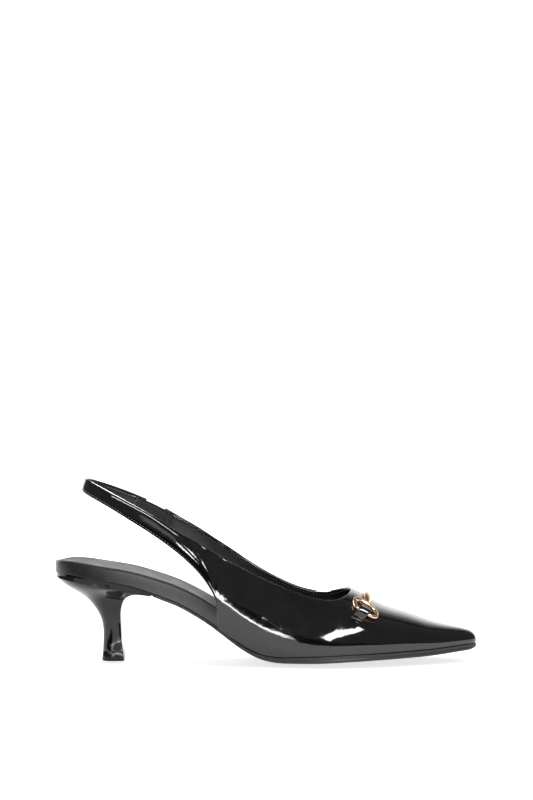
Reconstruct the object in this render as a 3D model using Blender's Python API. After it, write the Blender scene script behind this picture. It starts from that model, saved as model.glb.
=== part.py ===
"""A slingback pump: the right shoe of a pair, in patent leather, on a curved kitten heel.

Metres, +Z up. The toe points along +X, the medial side is +Y and the lateral side -Y. The shoe is
worked out on its last: x runs from the back of the heel seat to the toe, and each table gives its
lengths as shares of the named sizes. The last step moves the whole shoe so that the origin is on
the floor, under the middle of its box.
"""

import math

import bpy
import numpy as np

# Driving sizes, in metres
LAST_LENGTH = 0.2594  # insole board, from the back of the heel to the toe
BALL_WIDTH = 0.076  # insole board across the ball
SEAT_WIDTH = 0.052  # insole board across the heel seat
SEAT_HEIGHT = 0.055  # floor to the top of the heel, at its back
TOE_SPRING = 0.0070  # floor to the tread under the tip of the toe
THROAT_HEIGHT = 0.0452  # floor to the middle of the throat
STRAP_HEIGHT = 0.1142  # floor to the top of the sling strap at the back
EDGE_SHARE = 0.30  # how much of the quarter's height its upright back edge takes
STRAP_WIDTH = 0.0088  # sling strap, from edge to edge
QUARTER_WIDTH = 0.066  # across the two quarters, where they turn into straps
UPPER_WALL = 0.0015  # patent leather and lining together
FIT_GAP = 0.0003  # between pieces that meet
SOLE_THICKNESS = 0.0038  # outsole under the ball
SOLE_CROWN = 0.0032  # how much the outsole's edges stand above its middle
SOLE_MARGIN = 0.0004  # how much the outsole stands out past the upper
SOLE_BEVEL = 0.0009  # bevel along the outsole's lower edge
TOE_ROLL = 0.0015  # how much the tread turns up at the very tip of the toe
TOE_ROLL_LENGTH = 0.0060
BED_THICKNESS = 0.0074  # wrapped footbed at the heel
BED_FLAT = 0.93  # share of its half width that lies inside that edge
BED_ROUND = 0.0008  # rounding of the footbed's edge
BED_RIM = 0.0007  # how far the footbed's wrapped edge stands above the rest of its top
SEAT_CUP = 0.0010  # hollow of the heel seat
SOCK_THICKNESS = 0.0009
SOCK_MARGIN = 0.0021  # how much footbed shows round the sock
HEEL_LENGTH = 0.062  # top of the heel, from its back to the end of its lip
HEEL_INSET = 0.0006  # how far the heel's top stands in from the footbed
HEEL_RIM = 0.0012  # upright rim round the heel's top
TIP_HEIGHT = 0.0061  # top piece under the heel
TIP_FLARE = 0.0005  # how much the top piece grows towards the floor
ELASTIC_THICKNESS = 0.0012
ELASTIC_TUCK = 0.0055  # how far each end of the elastic goes in behind the strap
RING_LENGTH = 0.0174  # trim ring, along the shoe
RING_WIDTH = 0.0110  # trim ring, across the vamp
RING_WIRE = 0.0023  # its wire
RING_HEAVY = 0.45  # how much thicker the wire is along the ring's upper side
RING_BACK = 0.0011  # how far its middle lies behind the bar
RING_REACH = 0.402 * BALL_WIDTH  # from the ridge of the vamp to the middle of the ring
RING_LIFT = 0.0006  # how far the ring stands off the vamp besides the fit gap
BAR_WIDTH = 0.0061  # trim bar over the ridge, along the shoe
BAR_HEIGHT = 0.0035  # and up from the vamp
TAB_BACK = 0.0012  # how far the tab lies behind the ring's middle
TAB_SLANT = 0.55  # how much the tab runs backwards on its way down
TAB_WIDTH = 0.0060  # leather tab that holds the ring
TAB_THICKNESS = 0.0011
TAB_LENGTH = 0.0068  # from the ring to the stitched end of the tab

# Places along the last, as shares of its length
THROAT = 0.7116
TRIM_PLACE = 0.7456
QUARTER_END = 0.3960  # the quarter's corner, where its back edge leaves the sole
CORNER_TOP = 0.4300  # where the section through that corner meets the topline
EDGE_TOP = 0.3860  # and the section at the top of the upright edge
ELASTIC_BACK = 0.2020
ELASTIC_FRONT = 0.2480

# Outline of the insole board. Shares: along of the last, lateral and medial of the width named last
OUTLINE = (
    (0.0062, 0.173, 0.173, SEAT_WIDTH),
    (0.0212, 0.308, 0.308, SEAT_WIDTH),
    (0.050, 0.416, 0.412, SEAT_WIDTH),
    (0.092, 0.481, 0.474, SEAT_WIDTH),
    (0.150, 0.504, 0.492, SEAT_WIDTH),
    (0.219, 0.494, 0.469, SEAT_WIDTH),
    (0.292, 0.471, 0.419, SEAT_WIDTH),
    (0.365, 0.320, 0.267, BALL_WIDTH),
    (0.423, 0.341, 0.275, BALL_WIDTH),
    (0.481, 0.384, 0.313, BALL_WIDTH),
    (0.538, 0.437, 0.374, BALL_WIDTH),
    (0.596, 0.480, 0.437, BALL_WIDTH),
    (0.654, 0.500, 0.486, BALL_WIDTH),
    (0.708, 0.487, 0.508, BALL_WIDTH),
    (0.762, 0.438, 0.496, BALL_WIDTH),
    (0.815, 0.363, 0.453, BALL_WIDTH),
    (0.869, 0.272, 0.384, BALL_WIDTH),
    (0.919, 0.178, 0.295, BALL_WIDTH),
    (0.958, 0.096, 0.208, BALL_WIDTH),
    (0.983, 0.034, 0.139, BALL_WIDTH),
    (0.996, -0.012, 0.093, BALL_WIDTH),
)
TOE_SWING = 0.046  # how far the toe lies to the medial side, as a share of the ball width

# Heights along the last. Shares: rise of the seat height, spring of the toe spring, crown of the
# sole's crown, sole of its thickness, bed of the footbed's thickness
PROFILE = (
    (0.000, 1.002, 0.00, 0.00, 0.00, 1.00),
    (0.046, 0.993, 0.00, 0.00, 0.00, 1.06),
    (0.108, 0.942, 0.00, 0.00, 0.00, 1.13),
    (0.165, 0.895, 0.00, 0.00, 0.02, 1.15),
    (0.204, 0.843, 0.00, 0.00, 0.12, 1.19),
    (0.246, 0.7525, 0.00, 0.00, 0.46, 1.26),
    (0.292, 0.6655, 0.00, 0.03, 0.52, 1.32),
    (0.338, 0.547, 0.00, 0.10, 0.54, 1.41),
    (0.385, 0.397, 0.00, 0.24, 0.55, 1.51),
    (0.423, 0.257, 0.00, 0.42, 0.56, 1.38),
    (0.462, 0.126, 0.00, 0.58, 0.60, 1.04),
    (0.500, 0.039, 0.00, 0.73, 0.69, 0.68),
    (0.538, 0.002, 0.00, 0.84, 0.80, 0.465),
    (0.577, 0.000, -0.035, 0.92, 0.91, 0.38),
    (0.635, 0.000, -0.030, 1.00, 1.00, 0.36),
    (0.692, 0.000, 0.08, 0.97, 1.02, 0.36),
    (0.769, 0.000, 0.27, 0.77, 1.02, 0.36),
    (0.846, 0.000, 0.46, 0.54, 1.02, 0.36),
    (0.923, 0.000, 0.70, 0.31, 1.00, 0.36),
    (0.981, 0.000, 0.97, 0.12, 0.96, 0.36),
    (1.010, 0.000, 1.04, 0.05, 0.94, 0.36),
)

# Ridge of the last over the vamp, and on up the instep behind the throat. Shares: along of the
# upper's length, height from the toe's feather edge (0) to the throat (1), side of the ball width
RIDGE = (
    (1.0000, 0.000, 0.046),
    (1.0012, 0.045, 0.046),
    (1.0000, 0.110, 0.046),
    (0.9950, 0.176, 0.047),
    (0.9850, 0.229, 0.048),
    (0.9690, 0.269, 0.049),
    (0.9350, 0.328, 0.052),
    (0.8980, 0.400, 0.054),
    (0.8400, 0.554, 0.055),
    (0.7830, 0.698, 0.053),
    (0.7440, 0.850, 0.050),
    (0.7230, 0.949, 0.047),
    (0.7067, 1.000, 0.044),
    (0.6720, 1.155, 0.038),
    (0.6110, 1.460, 0.028),
    (0.5350, 1.860, 0.016),
    (0.4580, 2.260, 0.005),
    (0.3820, 2.640, 0.000),
)

# Section of the upper over the last. Shares: flare of the wall of the ball width, wall of the
# section's height, shoulder of its half width
SECTION = (
    # along, lateral flare, medial flare, wall, shoulder
    (0.400, 0.215, 0.310, 0.40, 1.00),
    (0.462, 0.145, 0.230, 0.36, 1.00),
    (0.538, 0.085, 0.128, 0.34, 0.93),
    (0.654, 0.062, 0.062, 0.45, 0.72),
    (0.769, 0.070, 0.072, 0.64, 0.54),
    (0.885, 0.053, 0.053, 0.72, 0.49),
    (1.010, 0.012, 0.012, 0.64, 0.52),
)

# Topline from the throat back to the quarter's end. Shares: height from the throat (0) to the
# strap's top (1), on the lateral and the medial side
TOPLINE = (
    (0.370, 0.393, 0.436),
    (0.397, 0.332, 0.372),
    (0.424, 0.275, 0.306),
    (0.451, 0.220, 0.237),
    (0.478, 0.168, 0.172),
    (0.505, 0.118, 0.111),
    (0.532, 0.073, 0.056),
    (0.559, 0.033, 0.009),
    (0.586, -0.006, -0.030),
    (0.613, -0.040, -0.056),
    (0.636, -0.060, -0.067),
    (0.659, -0.069, -0.060),
    (0.679, -0.066, -0.040),
    (0.694, -0.050, -0.020),
    (0.706, -0.024, -0.006),
    (THROAT, 0.000, 0.000),
)

# Quarter's back edge and sling strap, one row for each section square to it, front to back.
# Shares: along of the last, height from the throat (0) to the strap's top (1), width of the strap
# width, lean in degrees, low and high of the half quarter width, medial of the lateral one, lift on
# the medial side of the strap width, belly of the half quarter width
SLING = (
    # along, height, width, lean, low, high, medial, lift, belly
    (0.3807, 0.175, 3.35, -8.0, 0.992, 0.922, 0.955, 0.34, 0.064),
    (0.3655, 0.244, 2.77, -8.5, 0.992, 0.930, 0.957, 0.36, 0.054),
    (0.3473, 0.314, 2.18, -6.0, 0.984, 0.932, 0.960, 0.39, 0.040),
    (0.3265, 0.378, 1.75, -1.5, 0.966, 0.926, 0.964, 0.42, 0.027),
    (0.2997, 0.451, 1.375, 7.0, 0.936, 0.908, 0.970, 0.43, 0.017),
    (0.2687, 0.530, 1.18, 19.0, 0.890, 0.873, 0.980, 0.42, 0.010),
    (0.2300, 0.622, 1.12, 25.0, 0.836, 0.824, 0.990, 0.37, 0.005),
    (0.1882, 0.711, 1.05, 28.0, 0.765, 0.755, 1.000, 0.29, 0.003),
    (0.1482, 0.793, 0.98, 29.0, 0.660, 0.650, 1.000, 0.19, 0.000),
    (0.1064, 0.871, 0.96, 28.0, 0.470, 0.462, 1.000, 0.08, 0.000),
    (0.0784, 0.920, 0.935, 23.5, 0.258, 0.252, 1.000, 0.02, 0.000),
    (0.0678, 0.939, 0.920, 19.6, 0.000, 0.000, 1.000, 0.00, 0.000),
)

TIP_TOP = (TIP_HEIGHT + FIT_GAP) / SEAT_HEIGHT

# Heel, one row for each section, top to bottom. Shares: back and front of the heel's length, their
# heights of the seat height, half width of the seat width, flat of the breast of the half width
HEEL = (
    # back, back height, front, front height, half width, flat
    (0.004, 0.962, 0.985, 0.767, 0.492, 1.00),
    (0.045, 0.918, 0.915, 0.775, 0.468, 1.00),
    (0.110, 0.860, 0.838, 0.776, 0.420, 0.97),
    (0.215, 0.788, 0.765, 0.754, 0.345, 0.92),
    (0.308, 0.716, 0.708, 0.708, 0.272, 0.86),
    (0.374, 0.636, 0.677, 0.631, 0.213, 0.80),
    (0.427, 0.550, 0.662, 0.545, 0.172, 0.76),
    (0.462, 0.455, 0.661, 0.452, 0.143, 0.74),
    (0.477, 0.340, 0.664, 0.340, 0.121, 0.74),
    (0.476, 0.220, 0.669, 0.220, 0.112, 0.76),
    (0.472, TIP_TOP, 0.683, TIP_TOP, 0.114, 0.80),
)

# Half of the trim bar, from its middle. Shares: place of its reach, thickness
BAR = (
    (0.06, 1.00),
    (0.24, 1.00),
    (0.42, 0.97),
    (0.58, 0.88),
    (0.72, 0.74),
    (0.84, 0.60),
    (0.93, 0.50),
    (1.00, 0.36),
)

# Turns at which the leather tab's loop goes over the ring's wire
TAB_LOOP_DEGREES = (20, 45, 70, 95, 120, 145, 170)

MATERIALS = {
    "patent_leather": ((0.012, 0.011, 0.012), 0.06, 0.0),
    "sock_leather": ((0.055, 0.055, 0.058), 0.55, 0.0),
    "rand_leather": ((0.014, 0.014, 0.015), 0.22, 0.0),
    "sole_rubber": ((0.020, 0.020, 0.021), 0.50, 0.0),
    "trim_metal": ((0.90, 0.62, 0.42), 0.16, 1.0),
    "elastic_fabric": ((0.016, 0.016, 0.017), 0.85, 0.0),
}

LATERAL, MEDIAL = -1.0, 1.0
UPPER_OFFSET = FIT_GAP + UPPER_WALL
UPPER_LENGTH = LAST_LENGTH + UPPER_OFFSET
SOLE_TIP = UPPER_LENGTH + SOLE_MARGIN
TOP_RISE = STRAP_HEIGHT - THROAT_HEIGHT

# Stations that all plates share, closest together where the sole bends into the waist
STATION_BENDS = (0.360, 0.590)
STATION_STEPS = (11, 13, 13)
STATION_EDGES = (0.0, *STATION_BENDS, 1.0)
STATIONS = [
    (low + (high - low) * k / steps) * LAST_LENGTH
    for low, high, steps in zip(STATION_EDGES, STATION_EDGES[1:], STATION_STEPS)
    for k in range(steps)
]
END_REACH = 0.009  # how far a rounded end's closer stations go
END_STEPS = 5


class Curve:
    """A smooth curve through rows of values, one row for each knot."""

    def __init__(self, knots, rows):
        self.knots = np.asarray(knots, float)
        self.rows = np.asarray(rows, float)
        steps = np.diff(self.knots)
        count = len(self.knots)
        matrix = np.eye(count)
        right = np.zeros_like(self.rows)
        slopes = np.diff(self.rows, axis=0) / steps.reshape((-1,) + (1,) * (self.rows.ndim - 1))
        for k in range(1, count - 1):
            matrix[k, k - 1] = steps[k - 1]
            matrix[k, k] = 2 * (steps[k - 1] + steps[k])
            matrix[k, k + 1] = steps[k]
            right[k] = 6 * (slopes[k] - slopes[k - 1])
        flat = right.reshape(count, -1)
        self.bends = np.linalg.solve(matrix, flat).reshape(self.rows.shape)

    def __call__(self, at):
        at = min(max(float(at), self.knots[0]), self.knots[-1])
        k = int(np.clip(np.searchsorted(self.knots, at) - 1, 0, len(self.knots) - 2))
        step = self.knots[k + 1] - self.knots[k]
        before = (self.knots[k + 1] - at) / step
        after = 1 - before
        bend = (before**3 - before) * self.bends[k] + (after**3 - after) * self.bends[k + 1]
        return before * self.rows[k] + after * self.rows[k + 1] + bend * step**2 / 6


def table(rows):
    """The curve through a table whose first column says where each row is."""
    rows = np.array(rows, float)
    return Curve(rows[:, 0], rows[:, 1:])


def along_points(points):
    """The curve through points in space or in plan, by the distance along them."""
    points = np.asarray(points, float)
    gaps = np.linalg.norm(np.diff(points.reshape(len(points), -1), axis=0), axis=1)
    return Curve(np.concatenate([[0], np.cumsum(gaps)]), points)


class Outline:
    """A closed outline in plan, as its lateral and its medial side from heel to toe."""

    def __init__(self, lateral, medial):
        self.sides = {LATERAL: lateral, MEDIAL: medial}

    def grown(self, margin):
        """The outline with each point moved outwards."""
        grown = []
        for side, points in self.sides.items():
            ahead = np.gradient(points, axis=0)
            ahead /= np.linalg.norm(ahead, axis=1)[:, None]
            outwards = np.stack([-ahead[:, 1], ahead[:, 0]], 1) * side
            grown.append(points + outwards * margin)
        return Outline(*grown)

    def y(self, x, side):
        points = self.sides[side]
        return float(np.interp(x, points[:, 0], points[:, 1]))

    def middle_and_half(self, x):
        low, high = self.y(x, LATERAL), self.y(x, MEDIAL)
        return (low + high) / 2, (high - low) / 2

    def from_toe(self, distance, side):
        """The point that lies this far from the toe, along one side."""
        points = self.sides[side][::-1]
        gone = np.concatenate([[0], np.cumsum(np.linalg.norm(np.diff(points, axis=0), axis=1))])
        return np.array([np.interp(distance, gone, points[:, k]) for k in (0, 1)])

    def length_to(self, x, side):
        """How far the point at x lies from the toe, along one side."""
        points = self.sides[side][::-1]
        gone = np.concatenate([[0], np.cumsum(np.linalg.norm(np.diff(points, axis=0), axis=1))])
        return float(np.interp(-x, -points[:, 0], gone))


def board_outline():
    """The insole board's outline, one smooth loop through the table's points."""
    lateral = [(a * LAST_LENGTH, -s * width) for a, s, _, width in OUTLINE]
    medial = [(a * LAST_LENGTH, s * width) for a, _, s, width in OUTLINE]
    toe = (LAST_LENGTH, TOE_SWING * BALL_WIDTH)
    loop = [(0.0, 0.0), *lateral, toe, *medial[::-1]]
    turns = along_points(loop * 3 + loop[:1])
    start, toe_at = len(loop), len(loop) + len(lateral) + 1
    fine = 8
    sides = []
    for first, last in ((start, toe_at), (2 * start, toe_at)):
        knots = turns.knots[min(first, last) : max(first, last) + 1]
        places = np.concatenate(
            [np.linspace(a, b, fine, endpoint=False) for a, b in zip(knots, knots[1:])] + [knots[-1:]]
        )
        points = np.array([turns(place) for place in places])
        sides.append(points if first < last else points[::-1])
    return Outline(*sides)


BOARD = board_outline()
UPPER_OUTLINE = BOARD.grown(UPPER_OFFSET)
SOLE_OUTLINE = BOARD.grown(UPPER_OFFSET + SOLE_MARGIN)
PROFILE_CURVE = table(PROFILE)
SECTION_CURVE = table(SECTION)
TOPLINE_CURVE = table(TOPLINE)


def heights(x):
    """Tread, crown, sole thickness and bed thickness at x, in metres."""
    rise, spring, crown, sole, bed = PROFILE_CURVE(x / LAST_LENGTH)
    tread = rise * SEAT_HEIGHT + spring * TOE_SPRING
    return tread, crown * SOLE_CROWN, sole * SOLE_THICKNESS, bed * BED_THICKNESS


def tread_height(x, q):
    """The outsole's underside, flat on the floor where it would reach below it."""
    tread, crown, _, _ = heights(x)
    roll = TOE_ROLL * max(0.0, (x - SOLE_TIP) / TOE_ROLL_LENGTH + 1) ** 2
    return max(0.0, tread + crown * q * q) + roll


def sole_top(x, q):
    tread, crown, sole, _ = heights(x)
    return tread + crown * q * q + sole


def bed_bottom(x, q):
    return sole_top(x, q) + FIT_GAP


def smooth_step(value):
    value = min(max(value, 0.0), 1.0)
    return value * value * (3 - 2 * value)


def bed_top(x, q):
    """The footbed's top: its edge stands up a little, and the heel seat is hollow."""
    from_end = min(x, LAST_LENGTH - x) / SOCK_MARGIN
    from_side = (1 - abs(q)) / (1 - BED_FLAT)
    rim = BED_RIM * smooth_step(from_side) * smooth_step(from_end)
    cup = SEAT_CUP * (1 - q * q) * (1 - smooth_step(x / LAST_LENGTH * 5 - 1.8))
    return bed_bottom(x, q) + heights(x)[3] - rim - cup * smooth_step(from_end)


def feather_height(x, y):
    """The upper's lower edge, just above the outsole."""
    middle, half = SOLE_OUTLINE.middle_and_half(x)
    q = min(abs(y - middle) / max(half, 1e-6), 1.0)
    return sole_top(x, q) + FIT_GAP


def ridge_curve():
    tip = UPPER_OUTLINE.sides[LATERAL][-1]
    low = feather_height(tip[0], tip[1])
    points = [
        (a * UPPER_LENGTH, s * BALL_WIDTH, low + h * (THROAT_HEIGHT - low)) for a, h, s in RIDGE
    ]
    points[0] = (tip[0], tip[1], low)
    return along_points(points)


RIDGE_CURVE = ridge_curve()
RIDGE_SAMPLES = np.array([RIDGE_CURVE(k) for k in np.linspace(0, RIDGE_CURVE.knots[-1], 400)])


def ridge_at(x):
    """The ridge's point at x, behind the curve of the nose."""
    behind = RIDGE_SAMPLES[20:][::-1]
    return np.array([x, *(np.interp(x, behind[:, 0], behind[:, k]) for k in (1, 2))])


def ridge_length_to(x):
    """How far the ridge's point at x lies from the toe's feather edge."""
    behind = RIDGE_SAMPLES[20:]
    places = np.linspace(0, RIDGE_CURVE.knots[-1], 400)[20:]
    return float(np.interp(-x, -behind[:, 0], places))


def rib(foot, ridge, side):
    """Four control points of a section from the feather edge to the ridge."""
    lateral, medial, wall, shoulder = SECTION_CURVE(foot[0] / LAST_LENGTH)
    flare = (lateral if side == LATERAL else medial) * BALL_WIDTH * side
    rise = ridge[2] - foot[2]
    reach = abs(ridge[1] - foot[1])
    upright = foot + (0, flare, wall * rise)
    level = ridge + (0, side * shoulder * reach, 0)
    return np.array([foot, upright, level, ridge])


def station(x, side):
    """The whole section of the last at x."""
    y = UPPER_OUTLINE.y(x, side)
    foot = np.array([x, y, feather_height(x, y)])
    return rib(foot, ridge_at(x), side)


def bezier(points, t):
    left = 1 - t
    weights = (left**3, 3 * left**2 * t, 3 * left * t**2, t**3)
    return sum(weight * point for weight, point in zip(weights, points))


def through(points):
    """The control points of the section that goes through four points, at even steps."""
    start, one, two, end = points
    third = (-5 * start + 18 * one - 9 * two + 2 * end) / 6
    far = (2 * start - 9 * one + 18 * two - 5 * end) / 6
    return np.array([start, third, far, end])


def topline_share(x, side):
    """How far up the last's section the topline lies at x."""
    points = station(x, side)
    column = 0 if side == LATERAL else 1
    height = THROAT_HEIGHT + TOPLINE_CURVE(x / LAST_LENGTH)[column] * TOP_RISE
    low, high = 0.0, 1.0
    for _ in range(40):
        middle = (low + high) / 2
        if bezier(points, middle)[2] < height:
            low = middle
        else:
            high = middle
    return high


def leaning_row(foot_x, foot_share, top_x, side):
    """A section of the last that leans: from a share of the height at one x up to the topline."""
    top_share = topline_share(top_x, side)
    points = []
    for k in range(4):
        x = foot_x + (top_x - foot_x) * k / 3
        share = foot_share + (top_share - foot_share) * k / 3
        points.append(bezier(station(x, side), share))
    return through(points)


def sling_rib(row, side):
    """Four control points of a section of the strap or of the quarter's back edge."""
    along, height, width, lean, low, high, medial, lift, belly = row
    turn = math.radians(lean)
    half = width * STRAP_WIDTH / 2
    middle = np.array([along * LAST_LENGTH, 0, THROAT_HEIGHT + height * TOP_RISE])
    up = np.array([math.sin(turn), 0, math.cos(turn)]) * half
    spread = QUARTER_WIDTH / 2 * side
    if side == MEDIAL:
        spread *= medial
        middle[2] += lift * STRAP_WIDTH
    lower = middle - up + (0, low * spread, 0)
    upper = middle + up + (0, high * spread, 0)
    out = np.array([0, belly * spread, 0])
    third = (upper - lower) / 3
    return np.array([lower, lower + third + out, upper - third + out, upper])


def toe_rows(count, x_end, side):
    """Sections that fan out from the toe's feather edge to the upright one at x_end."""
    shares = [(k / count) ** 1.35 for k in range(1, count + 1)]
    foot_way = UPPER_OUTLINE.length_to(x_end, side)
    ridge_way = ridge_length_to(x_end)
    rows = []
    for share in shares:
        x, y = UPPER_OUTLINE.from_toe(share * foot_way, side)
        foot = np.array([x, y, feather_height(x, y)])
        rows.append(rib(foot, RIDGE_CURVE(share * ridge_way), side))
    return rows


def vamp_rows(toe, vamp, side):
    """Sections from the toe to the throat, which end on the ridge."""
    x_toe = 0.925 * LAST_LENGTH
    x_throat = THROAT * LAST_LENGTH
    rows = toe_rows(toe, x_toe, side)
    rows += [station(x, side) for x in np.linspace(x_toe, x_throat, vamp + 1)[1:]]
    return rows


def quarter_rows(count, side):
    """Sections from the throat back to the quarter's corner, which lean more and more."""
    throat = THROAT * LAST_LENGTH
    foot, top = QUARTER_END * LAST_LENGTH - throat, CORNER_TOP * LAST_LENGTH - throat
    shares = [(k / count) ** 1.5 for k in range(1, count + 1)]
    return [leaning_row(throat + foot * k, 0.0, throat + top * k, side) for k in shares]


def edge_row(share, side):
    """A section that starts on the quarter's upright back edge, this share of the way up it."""
    corner = QUARTER_END * LAST_LENGTH
    top = (CORNER_TOP + (EDGE_TOP - CORNER_TOP) * share) * LAST_LENGTH
    foot_share = share * EDGE_SHARE * topline_share(corner, side)
    return leaning_row(corner, foot_share, top, side)


def sling_curve(sides):
    """The curve of sections that runs back from the quarter on one side, and round to the other."""
    first = sides[0]
    lead = [edge_row(share, first) for share in (0.4, 0.7, 1.0)]
    rows = lead + [sling_rib(row, first) for row in SLING]
    if len(sides) == 2:
        rows += [sling_rib(row, sides[1]) for row in SLING[-2::-1]]
    curve = along_points([row.reshape(-1) for row in rows])
    return curve, len(lead) - 1


def sling_place(curve, x, first, last):
    """Where along the curve, between two knots, the section's middle lies at x."""
    knots = curve.knots[first : last + 1]
    middles = curve.rows[first : last + 1].reshape(-1, 4, 3)[:, (0, 3), 0].mean(axis=1)
    order = np.argsort(middles)
    return float(np.interp(x, middles[order], knots[order]))


def sling_rows(curve, begin, end, count):
    """Sections along the strap, closer together where it turns."""
    return [curve(place).reshape(4, 3) for place in np.linspace(begin, end, count + 1)[1:]]


def strap_rows(count):
    """From the lateral quarter round the heel to the back end of the elastic."""
    curve, lead = sling_curve((LATERAL, MEDIAL))
    back = lead + len(SLING)
    end = sling_place(curve, ELASTIC_BACK * LAST_LENGTH, back, len(curve.knots) - 1)
    return sling_rows(curve, curve.knots[lead], end, count)


def medial_wing_rows(count):
    """From the medial quarter back to the front end of the elastic."""
    curve, lead = sling_curve((MEDIAL,))
    end = sling_place(curve, ELASTIC_FRONT * LAST_LENGTH, lead, len(curve.knots) - 1)
    return sling_rows(curve, curve.knots[lead], end, count)


def upper_surface(toe, vamp, quarter, strap, wing, across):
    """Points and faces of the upper's outer face: vamp, both quarters and the sling strap."""
    points, faces = [], []
    shares = np.linspace(0, 1, across + 1)

    def add(row, ridge=None):
        line = [bezier(row, t) for t in (shares if ridge is None else shares[:-1])]
        first = len(points)
        points.extend(line)
        indices = list(range(first, first + len(line)))
        return indices if ridge is None else [*indices, ridge]

    def join(before, after, side):
        for k in range(across):
            quad = [before[k], after[k], after[k + 1], before[k + 1]]
            faces.append(quad if side == MEDIAL else quad[::-1])

    points.append(RIDGE_CURVE(0))
    lateral_rows = vamp_rows(toe, vamp, LATERAL)
    medial_rows = vamp_rows(toe, vamp, MEDIAL)
    before = None
    for lateral_row, medial_row in zip(lateral_rows, medial_rows):
        lateral = add(lateral_row)
        medial = add(medial_row, lateral[-1])
        if before is None:
            for k in range(across):
                faces.append([0, lateral[k + 1], lateral[k]])
                faces.append([0, medial[k], medial[k + 1]])
        else:
            join(before[0], lateral, LATERAL)
            join(before[1], medial, MEDIAL)
        before = (lateral, medial)
    lateral, medial = before
    edge = [k / 5 for k in range(1, 6)]
    lateral_rows = quarter_rows(quarter, LATERAL) + [edge_row(share, LATERAL) for share in edge]
    medial_rows = quarter_rows(quarter, MEDIAL) + [edge_row(share, MEDIAL) for share in edge]
    for row in lateral_rows + strap_rows(strap):
        indices = add(row)
        join(lateral, indices, LATERAL)
        lateral = indices
    for row in medial_rows + medial_wing_rows(wing):
        indices = add(row)
        join(medial, indices, MEDIAL)
        medial = indices
    return points, faces


def on_vamp(x, distance, side):
    """A point of the vamp's outer face, so far from the ridge, with its toe, down and out ways."""

    def line(at):
        return np.array([bezier(station(at, side), t) for t in np.linspace(1, 0.1, 60)])

    def point(points, far):
        gone = np.concatenate([[0], np.cumsum(np.linalg.norm(np.diff(points, axis=0), axis=1))])
        return np.array([np.interp(far, gone, points[:, k]) for k in range(3)])

    step = 0.0005
    here = line(x)
    place = point(here, distance)
    down = point(here, distance + step) - point(here, max(distance - step, 0.0))
    ahead = point(line(x + step), distance) - point(line(x - step), distance)
    out = np.cross(ahead, down) * side * -1
    down, ahead, out = (v / np.linalg.norm(v) for v in (down, ahead, out))
    return place, ahead, down, out if out[2] > 0 else -out


def new_object(name, points, faces, material):
    mesh = bpy.data.meshes.new(name)
    mesh.from_pydata([tuple(map(float, p)) for p in points], [], faces)
    mesh.validate()
    mesh.shade_smooth()
    mesh.set_sharp_from_angle(angle=math.radians(40))
    mesh.materials.append(bpy.data.materials[material])
    piece = bpy.data.objects.new(name, mesh)
    bpy.context.scene.collection.objects.link(piece)
    return piece


def loft(name, rings, material, closed=False):
    """A solid through rings of equally many points, capped at both ends or closed on itself."""
    count = len(rings[0])
    points = [point for ring in rings for point in ring]
    faces = []
    turns = len(rings) if closed else len(rings) - 1
    for i in range(turns):
        here, there = i * count, (i + 1) % len(rings) * count
        for k in range(count):
            after = (k + 1) % count
            faces.append([here + k, here + after, there + after, there + k])
    if not closed:
        faces.append(list(range(count))[::-1])
        last = (len(rings) - 1) * count
        faces.append(list(range(last, last + count)))
    return new_object(name, points, faces, material)


def plate_rings(outline, places, low, high, inset, shares):
    """Cross sections of a plate: its underside, its edge with both corners taken off, its top."""
    rings = []
    low_inset, high_inset = inset
    for x in places:
        middle, half = outline.middle_and_half(x)
        low_half = max(half - low_inset, half * 0.4)
        high_half = max(half - high_inset, half * 0.4)
        bottom = [(x, middle + q * low_half, low(x, q)) for q in shares]
        top = [(x, middle + q * high_half, high(x, q)) for q in shares]
        corner_low = low(x, 1.0) + low_inset
        corner_high = high(x, 1.0) - high_inset
        medial = [(x, middle + half, corner_low), (x, middle + half, corner_high)]
        lateral = [(x, middle - half, corner_high), (x, middle - half, corner_low)]
        rings.append(bottom + medial + top[::-1] + lateral)
    return rings


def places_between(start, end, round_start, round_end):
    """Stations along the shoe: the same ones for each plate, and closer ones at a rounded end."""
    near_end = [END_REACH * (k / END_STEPS) ** 2 for k in range(END_STEPS + 1)]
    first = [start + far for far in near_end] if round_start else [start]
    last = [end - far for far in near_end[::-1]] if round_end else [end]
    inside = [x for x in STATIONS if first[-1] + END_REACH / 9 < x < last[0] - END_REACH / 9]
    return first + inside + last


def outsole():
    end_gap = 0.15 * FIT_GAP
    end = SOLE_OUTLINE.sides[LATERAL][-1][0] - end_gap
    places = places_between(HEEL_LENGTH + FIT_GAP, end, False, True)
    shares = (-1, -0.8, -0.55, -0.28, 0, 0.28, 0.55, 0.8, 1)
    waist = BOARD.grown(-SOLE_MARGIN)

    def blended(x):
        share = smooth_step((x / LAST_LENGTH - 0.36) / 0.09)
        inner, outer = waist.middle_and_half(x), SOLE_OUTLINE.middle_and_half(x)
        return tuple(a + (b - a) * share for a, b in zip(inner, outer))

    class Blend:
        middle_and_half = staticmethod(blended)

    rings = plate_rings(Blend, places, tread_height, sole_top, (SOLE_BEVEL, 0.2 * SOLE_BEVEL), shares)
    return loft("outsole", rings, "sole_rubber")


def footbed():
    end_gap = 0.15 * FIT_GAP
    places = places_between(end_gap, LAST_LENGTH - end_gap, True, True)
    shares = (-1, -BED_FLAT, -0.6, 0, 0.6, BED_FLAT, 1)
    rings = plate_rings(BOARD, places, bed_bottom, bed_top, (BED_ROUND, BED_ROUND), shares)
    return loft("footbed", rings, "rand_leather")


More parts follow.
